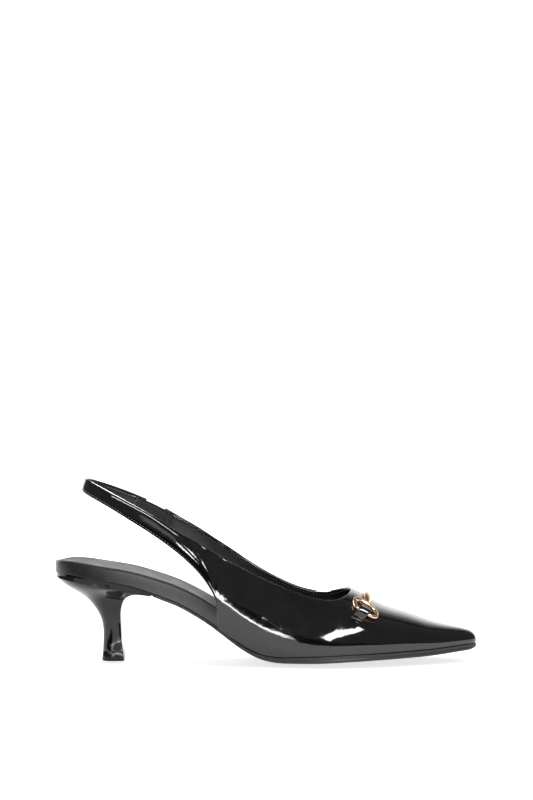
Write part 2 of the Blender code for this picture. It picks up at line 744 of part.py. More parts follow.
def sock():
    outline = BOARD.grown(-SOCK_MARGIN)
    end_gap = 0.2 * FIT_GAP
    ends = (outline.sides[LATERAL][0][0] + end_gap, outline.sides[LATERAL][-1][0] - end_gap)
    places = places_between(*ends, True, True)
    shares = (-1, -0.5, 0, 0.5, 1)

    def share_on_bed(x, q):
        middle, half = outline.middle_and_half(x)
        bed_middle, bed_half = BOARD.middle_and_half(x)
        return (middle + q * half - bed_middle) / (bed_half - BED_ROUND)

    def low(x, q):
        return bed_top(x, share_on_bed(x, q)) + FIT_GAP

    def high(x, q):
        return low(x, q) + SOCK_THICKNESS

    rings = plate_rings(outline, places, low, high, (0.1 * SOCK_THICKNESS, 0.4 * SOCK_THICKNESS), shares)
    return loft("sock", rings, "sock_leather")


def heel():
    """The covered heel: a D-shaped section that shrinks from the seat down to the top piece."""
    outline = BOARD.grown(-HEEL_INSET)
    side_count, front_count = 12, 4
    seat_back = outline.sides[LATERAL][0][0] + 0.15 * FIT_GAP

    def seat_ring(drop):
        """The top of the heel: the seat's outline from the back to the end of the lip."""
        shares = [1 - math.cos(math.pi / 2 * k / side_count) for k in range(side_count + 1)]
        xs = [seat_back + (HEEL_LENGTH - seat_back) * share for share in shares]
        lateral = [(x, outline.y(x, LATERAL), sole_top(x, 1.0) - drop) for x in xs]
        medial = [(x, outline.y(x, MEDIAL), sole_top(x, 1.0) - drop) for x in xs]
        return lateral, medial

    def closed(lateral, medial):
        ahead = [
            tuple(a + (b - a) * k / front_count for a, b in zip(lateral[-1], medial[-1]))
            for k in range(1, front_count)
        ]
        return lateral + ahead + medial[::-1]

    def section(row):
        back, back_height, front, front_height, width, flat = row
        lateral, medial = [], []
        x_back, x_front = back * HEEL_LENGTH, front * HEEL_LENGTH
        for k in range(side_count + 1):
            turn = math.pi / 2 * k / side_count
            share = 1 - math.cos(turn)
            x = x_back + (x_front - x_back) * share
            z = (back_height + (front_height - back_height) * share) * SEAT_HEIGHT
            belly = math.sin(min(turn * 1.45, math.pi / 2)) ** 0.9
            narrowing = 1 - (1 - flat) * smooth_step((share - 0.35) / 0.65)
            half = max(width * belly * narrowing, 0.004) * SEAT_WIDTH
            lateral.append((x, -half, z))
            medial.append((x, half, z))
        return lateral, medial

    top = seat_ring(0.0)
    rim = seat_ring(HEEL_RIM)
    rings = [closed(*top), closed(*rim)] + [closed(*section(row)) for row in HEEL]
    count = len(rings[0])
    points = [point for ring in rings for point in ring]
    faces = []
    for i in range(len(rings) - 1):
        here, there = i * count, (i + 1) * count
        for k in range(count):
            after = (k + 1) % count
            faces.append([here + k, there + k, there + after, here + after])
    for k in range(side_count - 1):
        faces.append([k, k + 1, count - 2 - k, count - 1 - k])
    k = side_count - 1
    faces.append(list(range(k, count - k)))
    last = (len(rings) - 1) * count
    faces.append(list(range(last, last + count))[::-1])
    piece = new_object("heel", points, faces, "patent_leather")
    return piece, rings[-1]


def heel_tip(ring):
    """The top piece under the heel, which grows a little towards the floor."""
    ring = np.array(ring)
    top_height = ring[:, 2].min() - FIT_GAP
    centre = ring.mean(axis=0)
    rings = []
    for height, grow in ((0.0, TIP_FLARE * 0.6), (0.1 * TIP_HEIGHT, TIP_FLARE), (top_height, 0.0)):
        outwards = ring[:, :2] - centre[:2]
        outwards /= np.linalg.norm(outwards, axis=1)[:, None]
        flat = ring[:, :2] + outwards * grow
        rings.append([(x, y, height) for x, y in flat])
    return loft("heel_tip", rings[::-1], "sole_rubber")


def upper():
    points, faces = upper_surface(toe=10, vamp=9, quarter=16, strap=30, wing=12, across=8)
    piece = new_object("upper", points, faces, "patent_leather")
    wall = piece.modifiers.new("wall", "SOLIDIFY")
    wall.thickness = UPPER_WALL
    wall.offset = -1
    return piece


def elastic_gore():
    """The elastic that bridges the medial strap, with both ends tucked in behind it."""
    curve, _ = sling_curve((MEDIAL,))
    last = len(curve.knots) - 1
    front = sling_place(curve, ELASTIC_FRONT * LAST_LENGTH + ELASTIC_TUCK, 3, last)
    back = sling_place(curve, ELASTIC_BACK * LAST_LENGTH - ELASTIC_TUCK, 3, last)
    count = 18
    rings = []
    for k in range(count + 1):
        place = front + (back - front) * k / count
        lower, upper_edge = curve(place).reshape(4, 3)[(0, 3), :]
        step = 0.0005
        ahead = curve(place + step).reshape(4, 3)[0] - curve(place - step).reshape(4, 3)[0]
        out = np.cross(upper_edge - lower, ahead)
        out *= math.copysign(1, out[1]) / np.linalg.norm(out)
        from_end = min(k, count - k) / count * abs(back - front)
        bound = 1 - smooth_step((from_end / ELASTIC_TUCK - 1) / 0.27)
        thick = ELASTIC_THICKNESS * (1 + 0.9 * bound)
        height = 0.84 + 0.12 * bound
        middle, half = (lower + upper_edge) / 2, (upper_edge - lower) / 2 * height
        outer = -(UPPER_WALL + FIT_GAP) * out
        inner = outer - thick * out
        chamfer = half / np.linalg.norm(half) * ELASTIC_THICKNESS / 4
        ring = [
            middle - half + chamfer + outer,
            middle + half - chamfer + outer,
            middle + half + (outer + inner) / 2,
            middle + half - chamfer + inner,
            middle - half + chamfer + inner,
            middle - half + (outer + inner) / 2,
        ]
        rings.append(ring)
    return loft("elastic_gore", rings, "elastic_fabric")


def ring_frame(side):
    """The ring's middle, and its ways along the shoe, down the vamp and out of it."""
    x = TRIM_PLACE * LAST_LENGTH - RING_BACK
    place, ahead, down, out = on_vamp(x, RING_REACH, side)
    return place + out * (RING_WIRE / 2 + FIT_GAP + RING_LIFT), ahead, down, out


def trim_ring(side):
    """An oval ring that lies on the vamp, heavier along its upper side."""
    centre, ahead, down, out = ring_frame(side)
    turns, sides = 26, 8
    long_half, wide_half = (RING_LENGTH - RING_WIRE) / 2, (RING_WIDTH - RING_WIRE) / 2
    power = 2 / 3

    def path(turn):
        c, s = math.cos(turn), math.sin(turn)
        far = long_half * math.copysign(abs(c) ** power, c)
        wide = wide_half * math.copysign(abs(s) ** power, s)
        return centre + far * ahead + wide * down

    rings = []
    for k in range(turns):
        turn = 2 * math.pi * (k + 0.5) / turns
        here = path(turn)
        tangent = path(turn + 0.05) - path(turn - 0.05)
        outwards = np.cross(tangent, out)
        outwards /= np.linalg.norm(outwards)
        heavy = 1 + RING_HEAVY * smooth_step((-math.sin(turn) - 0.35) / 0.65)
        radius = RING_WIRE / 2 * heavy
        lifted = here + out * (radius - RING_WIRE / 2)
        ring = []
        for j in range(sides):
            angle = 2 * math.pi * j / sides
            ring.append(lifted + radius * (math.cos(angle) * outwards + math.sin(angle) * out))
        rings.append(ring)
    name = "trim_ring_lateral" if side == LATERAL else "trim_ring_medial"
    return loft(name, rings, "trim_metal", closed=True)


def trim_bar():
    """The bar over the ridge, a barrel that thins out towards the two rings."""
    reach = RING_REACH - (RING_WIDTH + RING_HEAVY * RING_WIRE) / 2 - 2 * FIT_GAP
    x = TRIM_PLACE * LAST_LENGTH
    ends = [(share, size) for share, size in BAR]
    rings = []
    for share, size in [(-share, size) for share, size in ends[::-1]] + ends:
        side = LATERAL if share < 0 else MEDIAL
        place, ahead, _, out = on_vamp(x, abs(share) * reach, side)
        centre = place + out * (BAR_HEIGHT / 2 * size + FIT_GAP)
        ring = []
        for j in range(10):
            angle = 2 * math.pi * j / 10
            wide = math.cos(angle) * BAR_WIDTH / 2 * size * ahead
            ring.append(centre + wide + math.sin(angle) * BAR_HEIGHT / 2 * size * out)
        rings.append(ring)
    return loft("trim_bar", rings, "trim_metal")


def trim_tab(side):
    """The leather tab: from its stitched end up over the ring's lower side, and down inside it."""
    centre, _, down, _ = ring_frame(side)
    wire = centre + down * (RING_WIDTH - RING_WIRE) / 2
    wire_at = RING_REACH + (RING_WIDTH - RING_WIRE) / 2
    tab_x = TRIM_PLACE * LAST_LENGTH - RING_BACK - TAB_BACK
    under, _, _, out = on_vamp(tab_x, wire_at, side)
    wire_height = float(np.dot(wire - under, out))
    loop = RING_WIRE / 2 + 3.5 * FIT_GAP + TAB_THICKNESS / 2
    rest = FIT_GAP + TAB_THICKNESS / 2
    path = [(TAB_LENGTH, rest), (TAB_LENGTH * 0.78, rest), (TAB_LENGTH * 0.55, rest + FIT_GAP / 3)]
    path += [(loop * 1.12, wire_height + FIT_GAP * 2 / 3)]
    path += [
        (loop * math.cos(math.radians(a)), wire_height + loop * math.sin(math.radians(a)))
        for a in TAB_LOOP_DEGREES
    ]
    path += [(-loop, rest)]
    curve = along_points(path)
    rings = []
    count = 16
    for k in range(count + 1):
        at = curve.knots[-1] * k / count
        reach, height = curve(at)
        before, after = curve(at - 0.0002), curve(at + 0.0002)
        slope = (after - before) / np.linalg.norm(after - before)
        across = np.array([-slope[1], slope[0]]) * TAB_THICKNESS / 2
        ring = []
        for end in (-0.5, 0.5):
            for thick in (-1, 1):
                far, high = np.array([reach, height]) + across * thick * math.copysign(1, end)
                x = tab_x + end * TAB_WIDTH - TAB_SLANT * far
                place, _, _, out = on_vamp(x, wire_at + far, side)
                ring.append(place + out * max(high, FIT_GAP))
        rings.append(ring)
    name = "trim_tab_lateral" if side == LATERAL else "trim_tab_medial"
    return loft(name, rings, "patent_leather")


def make_materials():
    for name, (colour, roughness, metallic) in MATERIALS.items():
        material = bpy.data.materials.new(name)
        material.use_nodes = True
        shader = material.node_tree.nodes["Principled BSDF"]
        shader.inputs["Base Color"].default_value = (*colour, 1.0)
        shader.inputs["Roughness"].default_value = roughness
        shader.inputs["Metallic"].default_value = metallic
        material.diffuse_color = (*colour, 1.0)


def face_outwards(piece):
    """Turns a closed mesh's faces round where they point inwards."""
    mesh = piece.data
    mesh.calc_loop_triangles()
    corners = np.array(
        [[mesh.vertices[v].co for v in triangle.vertices] for triangle in mesh.loop_triangles]
    )
    if np.linalg.det(corners).sum() < 0:
        mesh.flip_normals()


def stand_on_origin(pieces):
    """Moves the shoe so that the origin is on the floor, under the middle of its box."""
    corners = np.array([vertex.co for piece in pieces for vertex in piece.data.vertices])
    low, high = corners.min(axis=0), corners.max(axis=0)
    shoe = bpy.data.objects.new("shoe", None)
    bpy.context.scene.collection.objects.link(shoe)
    shoe.location = (-(low[0] + high[0]) / 2, -(low[1] + high[1]) / 2, -low[2])
    for piece in pieces:
        piece.parent = shoe


def main():
    for old in list(bpy.data.objects):
        bpy.data.objects.remove(old)
    make_materials()
    heel_piece, heel_foot = heel()
    solids = [outsole(), footbed(), sock(), heel_piece, heel_tip(heel_foot), elastic_gore()]
    solids += [trim_bar()]
    for side in (LATERAL, MEDIAL):
        solids += [trim_ring(side), trim_tab(side)]
    for piece in solids:
        face_outwards(piece)
    stand_on_origin([*solids, upper()])


main()
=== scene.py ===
"""The slingback pump's looks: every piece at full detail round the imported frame, with materials,
light, floor and camera.

Metres. The shoe's own places, from the back of the heel seat to the toe, run as in its tables, and
SHIFT takes them to the frame.
"""

import functools
import math

import bpy
import numpy as np
from mathutils import Matrix, Vector


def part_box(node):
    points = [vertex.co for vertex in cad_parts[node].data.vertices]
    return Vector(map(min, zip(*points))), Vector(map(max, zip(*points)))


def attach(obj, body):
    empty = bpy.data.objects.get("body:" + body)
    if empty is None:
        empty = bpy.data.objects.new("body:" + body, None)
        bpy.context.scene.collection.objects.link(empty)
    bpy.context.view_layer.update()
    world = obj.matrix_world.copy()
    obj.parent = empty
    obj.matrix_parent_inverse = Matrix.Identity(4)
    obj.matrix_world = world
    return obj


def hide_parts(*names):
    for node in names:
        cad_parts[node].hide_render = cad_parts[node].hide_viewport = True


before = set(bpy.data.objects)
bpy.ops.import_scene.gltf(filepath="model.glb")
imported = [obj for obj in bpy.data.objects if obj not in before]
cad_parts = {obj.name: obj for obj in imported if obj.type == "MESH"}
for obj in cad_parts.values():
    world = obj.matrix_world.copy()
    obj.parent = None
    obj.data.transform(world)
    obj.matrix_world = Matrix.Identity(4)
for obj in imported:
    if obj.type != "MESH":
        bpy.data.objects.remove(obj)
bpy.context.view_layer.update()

# Driving sizes, in metres
LAST_LENGTH = 0.2594  # insole board, from the back of the heel to the toe
BALL_WIDTH = 0.076  # insole board across the ball
SEAT_WIDTH = 0.052  # insole board across the heel seat
SEAT_HEIGHT = 0.055  # floor to the top of the heel, at its back
TOE_SPRING = 0.0070  # floor to the tread under the tip of the toe
THROAT_HEIGHT = 0.0452  # floor to the middle of the throat
STRAP_HEIGHT = 0.1142  # floor to the top of the sling strap at the back
EDGE_SHARE = 0.30  # how much of the quarter's height its upright back edge takes
STRAP_WIDTH = 0.0088  # sling strap, from edge to edge
QUARTER_WIDTH = 0.066  # across the two quarters, where they turn into straps
UPPER_WALL = 0.0015  # patent leather and lining together
FIT_GAP = 0.0003  # between pieces that meet
SOLE_THICKNESS = 0.0038  # outsole under the ball
SOLE_CROWN = 0.0032  # how much the outsole's edges stand above its middle
SOLE_MARGIN = 0.0004  # how much the outsole stands out past the upper
SOLE_BEVEL = 0.0009  # bevel along the outsole's lower edge
TOE_ROLL = 0.0015  # how much the tread turns up at the very tip of the toe
TOE_ROLL_LENGTH = 0.0060
BED_THICKNESS = 0.0074  # wrapped footbed at the heel
BED_FLAT = 0.93  # share of its half width that lies inside that edge
BED_ROUND = 0.0008  # rounding of the footbed's edge
BED_RIM = 0.0007  # how far the footbed's wrapped edge stands above the rest of its top
SEAT_CUP = 0.0010  # hollow of the heel seat
SOCK_THICKNESS = 0.0009
SOCK_MARGIN = 0.0021  # how much footbed shows round the sock
HEEL_LENGTH = 0.062  # top of the heel, from its back to the end of its lip
HEEL_INSET = 0.0006  # how far the heel's top stands in from the footbed
HEEL_RIM = 0.0012  # upright rim round the heel's top
TIP_HEIGHT = 0.0061  # top piece under the heel
TIP_FLARE = 0.0005  # how much the top piece grows towards the floor
ELASTIC_THICKNESS = 0.0012
ELASTIC_TUCK = 0.0055  # how far each end of the elastic goes in behind the strap
RING_LENGTH = 0.0174  # trim ring, along the shoe
RING_WIDTH = 0.0110  # trim ring, across the vamp
RING_WIRE = 0.0023  # its wire
RING_HEAVY = 0.45  # how much thicker the wire is along the ring's upper side
RING_BACK = 0.0011  # how far its middle lies behind the bar
RING_REACH = 0.402 * BALL_WIDTH  # from the ridge of the vamp to the middle of the ring
RING_LIFT = 0.0006  # how far the ring stands off the vamp besides the fit gap
BAR_WIDTH = 0.0061  # trim bar over the ridge, along the shoe
BAR_HEIGHT = 0.0035  # and up from the vamp
TAB_BACK = 0.0012  # how far the tab lies behind the ring's middle
TAB_SLANT = 0.55  # how much the tab runs backwards on its way down
TAB_WIDTH = 0.0060  # leather tab that holds the ring
TAB_THICKNESS = 0.0011
TAB_LENGTH = 0.0068  # from the ring to the stitched end of the tab

# Places along the last, as shares of its length
THROAT = 0.7116
TRIM_PLACE = 0.7456
QUARTER_END = 0.3960  # the quarter's corner, where its back edge leaves the sole
CORNER_TOP = 0.4300  # where the section through that corner meets the topline
EDGE_TOP = 0.3860  # and the section at the top of the upright edge
ELASTIC_BACK = 0.2020
ELASTIC_FRONT = 0.2480

# Outline of the insole board. Shares: along of the last, lateral and medial of the width named last
OUTLINE = (
    (0.0062, 0.173, 0.173, SEAT_WIDTH),
    (0.0212, 0.308, 0.308, SEAT_WIDTH),
    (0.050, 0.416, 0.412, SEAT_WIDTH),
    (0.092, 0.481, 0.474, SEAT_WIDTH),
    (0.150, 0.504, 0.492, SEAT_WIDTH),
    (0.219, 0.494, 0.469, SEAT_WIDTH),
    (0.292, 0.471, 0.419, SEAT_WIDTH),
    (0.365, 0.320, 0.267, BALL_WIDTH),
    (0.423, 0.341, 0.275, BALL_WIDTH),
    (0.481, 0.384, 0.313, BALL_WIDTH),
    (0.538, 0.437, 0.374, BALL_WIDTH),
    (0.596, 0.480, 0.437, BALL_WIDTH),
    (0.654, 0.500, 0.486, BALL_WIDTH),
    (0.708, 0.487, 0.508, BALL_WIDTH),
    (0.762, 0.438, 0.496, BALL_WIDTH),
    (0.815, 0.363, 0.453, BALL_WIDTH),
    (0.869, 0.272, 0.384, BALL_WIDTH),
    (0.919, 0.178, 0.295, BALL_WIDTH),
    (0.958, 0.096, 0.208, BALL_WIDTH),
    (0.983, 0.034, 0.139, BALL_WIDTH),
    (0.996, -0.012, 0.093, BALL_WIDTH),
)
TOE_SWING = 0.046  # how far the toe lies to the medial side, as a share of the ball width

# Heights along the last. Shares: rise of the seat height, spring of the toe spring, crown of the
# sole's crown, sole of its thickness, bed of the footbed's thickness
PROFILE = (
    (0.000, 1.002, 0.00, 0.00, 0.00, 1.00),
    (0.046, 0.993, 0.00, 0.00, 0.00, 1.06),
    (0.108, 0.942, 0.00, 0.00, 0.00, 1.13),
    (0.165, 0.895, 0.00, 0.00, 0.02, 1.15),
    (0.204, 0.843, 0.00, 0.00, 0.12, 1.19),
    (0.246, 0.7525, 0.00, 0.00, 0.46, 1.26),
    (0.292, 0.6655, 0.00, 0.03, 0.52, 1.32),
    (0.338, 0.547, 0.00, 0.10, 0.54, 1.41),
    (0.385, 0.397, 0.00, 0.24, 0.55, 1.51),
    (0.423, 0.257, 0.00, 0.42, 0.56, 1.38),
    (0.462, 0.126, 0.00, 0.58, 0.60, 1.04),
    (0.500, 0.039, 0.00, 0.73, 0.69, 0.68),
    (0.538, 0.002, 0.00, 0.84, 0.80, 0.465),
    (0.577, 0.000, -0.035, 0.92, 0.91, 0.38),
    (0.635, 0.000, -0.030, 1.00, 1.00, 0.36),
    (0.692, 0.000, 0.08, 0.97, 1.02, 0.36),
    (0.769, 0.000, 0.27, 0.77, 1.02, 0.36),
    (0.846, 0.000, 0.46, 0.54, 1.02, 0.36),
    (0.923, 0.000, 0.70, 0.31, 1.00, 0.36),
    (0.981, 0.000, 0.97, 0.12, 0.96, 0.36),
    (1.010, 0.000, 1.04, 0.05, 0.94, 0.36),
)

# Ridge of the last over the vamp, and on up the instep behind the throat. Shares: along of the
# upper's length, height from the toe's feather edge (0) to the throat (1), side of the ball width
RIDGE = (
    (1.0000, 0.000, 0.046),
    (1.0012, 0.045, 0.046),
    (1.0000, 0.110, 0.046),
    (0.9950, 0.176, 0.047),
    (0.9850, 0.229, 0.048),
    (0.9690, 0.269, 0.049),
    (0.9350, 0.328, 0.052),
    (0.8980, 0.400, 0.054),
    (0.8400, 0.554, 0.055),
    (0.7830, 0.698, 0.053),
    (0.7440, 0.850, 0.050),
    (0.7230, 0.949, 0.047),
    (0.7067, 1.000, 0.044),
    (0.6720, 1.155, 0.038),
    (0.6110, 1.460, 0.028),
    (0.5350, 1.860, 0.016),
    (0.4580, 2.260, 0.005),
    (0.3820, 2.640, 0.000),
)

# Section of the upper over the last. Shares: flare of the wall of the ball width, wall of the
# section's height, shoulder of its half width
SECTION = (
    # along, lateral flare, medial flare, wall, shoulder
    (0.400, 0.215, 0.310, 0.40, 1.00),
    (0.462, 0.145, 0.230, 0.36, 1.00),
    (0.538, 0.085, 0.128, 0.34, 0.93),
    (0.654, 0.062, 0.062, 0.45, 0.72),
    (0.769, 0.070, 0.072, 0.64, 0.54),
    (0.885, 0.053, 0.053, 0.72, 0.49),
    (1.010, 0.012, 0.012, 0.64, 0.52),
)

# Topline from the throat back to the quarter's end. Shares: height from the throat (0) to the
# strap's top (1), on the lateral and the medial side
TOPLINE = (
    (0.370, 0.393, 0.436),
    (0.397, 0.332, 0.372),
    (0.424, 0.275, 0.306),
    (0.451, 0.220, 0.237),
    (0.478, 0.168, 0.172),
    (0.505, 0.118, 0.111),
    (0.532, 0.073, 0.056),
    (0.559, 0.033, 0.009),
    (0.586, -0.006, -0.030),
    (0.613, -0.040, -0.056),
    (0.636, -0.060, -0.067),
    (0.659, -0.069, -0.060),
    (0.679, -0.066, -0.040),
    (0.694, -0.050, -0.020),
    (0.706, -0.024, -0.006),
    (THROAT, 0.000, 0.000),
)

# Quarter's back edge and sling strap, one row for each section square to it, front to back.
# Shares: along of the last, height from the throat (0) to the strap's top (1), width of the strap
# width, lean in degrees, low and high of the half quarter width, medial of the lateral one, lift on
# the medial side of the strap width, belly of the half quarter width
SLING = (
    # along, height, width, lean, low, high, medial, lift, belly
    (0.3807, 0.175, 3.35, -8.0, 0.992, 0.922, 0.955, 0.34, 0.064),
    (0.3655, 0.244, 2.77, -8.5, 0.992, 0.930, 0.957, 0.36, 0.054),
    (0.3473, 0.314, 2.18, -6.0, 0.984, 0.932, 0.960, 0.39, 0.040),
    (0.3265, 0.378, 1.75, -1.5, 0.966, 0.926, 0.964, 0.42, 0.027),
    (0.2997, 0.451, 1.375, 7.0, 0.936, 0.908, 0.970, 0.43, 0.017),
    (0.2687, 0.530, 1.18, 19.0, 0.890, 0.873, 0.980, 0.42, 0.010),
    (0.2300, 0.622, 1.12, 25.0, 0.836, 0.824, 0.990, 0.37, 0.005),
    (0.1882, 0.711, 1.05, 28.0, 0.765, 0.755, 1.000, 0.29, 0.003),
    (0.1482, 0.793, 0.98, 29.0, 0.660, 0.650, 1.000, 0.19, 0.000),
    (0.1064, 0.871, 0.96, 28.0, 0.470, 0.462, 1.000, 0.08, 0.000),
    (0.0784, 0.920, 0.935, 23.5, 0.258, 0.252, 1.000, 0.02, 0.000),
    (0.0678, 0.939, 0.920, 19.6, 0.000, 0.000, 1.000, 0.00, 0.000),
)

TIP_TOP = (TIP_HEIGHT + FIT_GAP) / SEAT_HEIGHT

# Heel, one row for each section, top to bottom. Shares: back and front of the heel's length, their
# heights of the seat height, half width of the seat width, flat of the breast of the half width
HEEL = (
    # back, back height, front, front height, half width, flat
    (0.004, 0.962, 0.985, 0.767, 0.492, 1.00),
    (0.045, 0.918, 0.915, 0.775, 0.468, 1.00),
    (0.110, 0.860, 0.838, 0.776, 0.420, 0.97),
    (0.215, 0.788, 0.765, 0.754, 0.345, 0.92),
    (0.308, 0.716, 0.708, 0.708, 0.272, 0.86),
    (0.374, 0.636, 0.677, 0.631, 0.213, 0.80),
    (0.427, 0.550, 0.662, 0.545, 0.172, 0.76),
    (0.462, 0.455, 0.661, 0.452, 0.143, 0.74),
    (0.477, 0.340, 0.664, 0.340, 0.121, 0.74),
    (0.476, 0.220, 0.669, 0.220, 0.112, 0.76),
    (0.472, TIP_TOP, 0.683, TIP_TOP, 0.114, 0.80),
)

# Half of the trim bar, from its middle. Shares: place of its reach, thickness
BAR = (
    (0.06, 1.00),
    (0.24, 1.00),
    (0.42, 0.97),
    (0.58, 0.88),
    (0.72, 0.74),
    (0.84, 0.60),
    (0.93, 0.50),
    (1.00, 0.36),
)

# Turns at which the leather tab's loop goes over the ring's wire
TAB_LOOP_DEGREES = (20, 45, 70, 95, 120, 145, 170)

LATERAL, MEDIAL = -1.0, 1.0
WORDS = {LATERAL: "lateral", MEDIAL: "medial"}
VAMP_STEP = 0.0005  # half the step that shows which way the vamp runs
UPPER_OFFSET = FIT_GAP + UPPER_WALL
UPPER_LENGTH = LAST_LENGTH + UPPER_OFFSET
SOLE_TIP = UPPER_LENGTH + SOLE_MARGIN
TOP_RISE = STRAP_HEIGHT - THROAT_HEIGHT

# Places as shares of the last, and how steps crowd together: at 1 they are even
TOE_END, TOE_CROWDING = 0.925, 1.35  # sections fan out from the toe, as far as here
QUARTER_CROWDING = 1.5
CUP_END, CUP_FADE = 0.36, 0.2  # where the hollow of the heel seat starts to end, and over how much
RIDGE_STEPS, NOSE_STEPS = 400, 20  # steps along the ridge, of which the first lie on the nose
LINE_STEPS, LINE_END = 60, 0.1  # steps down a section of the vamp, and the share where they end
HALVINGS = 40


class Curve:
    """A smooth curve through rows of values, one row for each knot."""

    def __init__(self, knots, rows):
        self.knots = np.asarray(knots, float)
        self.rows = np.asarray(rows, float)
        steps = np.diff(self.knots)
        count = len(self.knots)
        matrix = np.eye(count)
        right = np.zeros_like(self.rows)
        slopes = np.diff(self.rows, axis=0) / steps.reshape((-1,) + (1,) * (self.rows.ndim - 1))
        for k in range(1, count - 1):
            matrix[k, k - 1] = steps[k - 1]
            matrix[k, k] = 2 * (steps[k - 1] + steps[k])
            matrix[k, k + 1] = steps[k]
            right[k] = 6 * (slopes[k] - slopes[k - 1])
        flat = right.reshape(count, -1)
        self.bends = np.linalg.solve(matrix, flat).reshape(self.rows.shape)

    def __call__(self, at):
        at = min(max(float(at), self.knots[0]), self.knots[-1])
        k = int(np.clip(np.searchsorted(self.knots, at) - 1, 0, len(self.knots) - 2))
        step = self.knots[k + 1] - self.knots[k]
        before = (self.knots[k + 1] - at) / step
        after = 1 - before
        bend = (before**3 - before) * self.bends[k] + (after**3 - after) * self.bends[k + 1]
        return before * self.rows[k] + after * self.rows[k + 1] + bend * step**2 / 6


def table(rows):
    """The curve through a table whose first column says where each row is."""
    rows = np.array(rows, float)
    return Curve(rows[:, 0], rows[:, 1:])


def gone_along(line):
    """How far each point of a line is from its start."""
    return np.concatenate([[0], np.cumsum(np.linalg.norm(np.diff(line, axis=0), axis=1))])


def point_at(at, gone, line):
    """The point of a line so far from its start."""
    return np.array([np.interp(at, gone, column) for column in line.T])


def unit(vector):
    return vector / np.linalg.norm(vector)


def along_points(points):
    """The curve through points in space or in plan, by the distance along them."""
    points = np.asarray(points, float)
    return Curve(gone_along(points.reshape(len(points), -1)), points)


class Outline:
    """A closed outline in plan, as its lateral and its medial side from heel to toe."""

    def __init__(self, lateral, medial):
        self.sides = {LATERAL: lateral, MEDIAL: medial}

    def grown(self, margin):
        """The outline with each point moved outwards."""
        grown = []
        for side, points in self.sides.items():
            ahead = np.gradient(points, axis=0)
            ahead /= np.linalg.norm(ahead, axis=1)[:, None]
            outwards = np.stack([-ahead[:, 1], ahead[:, 0]], 1) * side
            grown.append(points + outwards * margin)
        return Outline(*grown)

    def y(self, x, side):
        points = self.sides[side]
        return float(np.interp(x, points[:, 0], points[:, 1]))

    def middle_and_half(self, x):
        low, high = self.y(x, LATERAL), self.y(x, MEDIAL)
        return (low + high) / 2, (high - low) / 2

    def from_toe(self, distance, side):
        """The point that lies this far from the toe, along one side."""
        points = self.sides[side][::-1]
        return point_at(distance, gone_along(points), points)

    def length_to(self, x, side):
        """How far the point at x lies from the toe, along one side."""
        points = self.sides[side][::-1]
        return float(np.interp(-x, -points[:, 0], gone_along(points)))


def board_outline():
    """The insole board's outline, one smooth loop through the table's points."""
    lateral = [(a * LAST_LENGTH, -s * width) for a, s, _, width in OUTLINE]
    medial = [(a * LAST_LENGTH, s * width) for a, _, s, width in OUTLINE]
    toe = (LAST_LENGTH, TOE_SWING * BALL_WIDTH)
    loop = [(0.0, 0.0), *lateral, toe, *medial[::-1]]
    turns = along_points(loop * 3 + loop[:1])
    start, toe_at = len(loop), len(loop) + len(lateral) + 1
    sides = []
    for first, last in ((start, toe_at), (2 * start, toe_at)):
        knots = turns.knots[min(first, last) : max(first, last) + 1]
        steps = [np.linspace(a, b, 8, endpoint=False) for a, b in zip(knots, knots[1:])]
        points = np.array([turns(place) for place in np.concatenate([*steps, knots[-1:]])])
        sides.append(points if first < last else points[::-1])
    return Outline(*sides)


BOARD = board_outline()
UPPER_OUTLINE = BOARD.grown(UPPER_OFFSET)
SOLE_OUTLINE = BOARD.grown(UPPER_OFFSET + SOLE_MARGIN)
PROFILE_CURVE = table(PROFILE)
SECTION_CURVE = table(SECTION)
TOPLINE_CURVE = table(TOPLINE)


def heights(x):
    """Tread, crown, sole thickness and bed thickness at x, in metres."""
    rise, spring, crown, sole, bed = PROFILE_CURVE(x / LAST_LENGTH)
    tread = rise * SEAT_HEIGHT + spring * TOE_SPRING
    return tread, crown * SOLE_CROWN, sole * SOLE_THICKNESS, bed * BED_THICKNESS


def tread_height(x, q):
    """The outsole's underside, flat on the floor where it would reach below it."""
    tread, crown, _, _ = heights(x)
    roll = TOE_ROLL * max(0.0, (x - SOLE_TIP) / TOE_ROLL_LENGTH + 1) ** 2
    return max(0.0, tread + crown * q * q) + roll


def sole_top(x, q):
    tread, crown, sole, _ = heights(x)
    return tread + crown * q * q + sole


def bed_bottom(x, q):
    return sole_top(x, q) + FIT_GAP


def smooth_step(value):
    value = min(max(value, 0.0), 1.0)
    return value * value * (3 - 2 * value)


def bed_top(x, q):
    """The footbed's top: its edge stands up a little, and the heel seat is hollow."""
    from_end = min(x, LAST_LENGTH - x) / SOCK_MARGIN
    from_side = (1 - abs(q)) / (1 - BED_FLAT)
    rim = BED_RIM * smooth_step(from_side) * smooth_step(from_end)
    cup = SEAT_CUP * (1 - q * q) * (1 - smooth_step((x / LAST_LENGTH - CUP_END) / CUP_FADE))
    return bed_bottom(x, q) + heights(x)[3] - rim - cup * smooth_step(from_end)


def foot_at(x, y):
    """The point of the upper's lower edge at x and y, just above the outsole."""
    middle, half = SOLE_OUTLINE.middle_and_half(x)
    return np.array([x, y, bed_bottom(x, min(abs(y - middle) / max(half, 1e-6), 1.0))])


def ridge_curve():
    foot = foot_at(*UPPER_OUTLINE.sides[LATERAL][-1])
    rise = THROAT_HEIGHT - foot[2]
    points = [(a * UPPER_LENGTH, s * BALL_WIDTH, foot[2] + h * rise) for a, h, s in RIDGE[1:]]
    return along_points([foot, *points])


RIDGE_CURVE = ridge_curve()
RIDGE_PLACES = np.linspace(0, RIDGE_CURVE.knots[-1], RIDGE_STEPS)[NOSE_STEPS:]
RIDGE_BEHIND = np.array([RIDGE_CURVE(place) for place in RIDGE_PLACES])


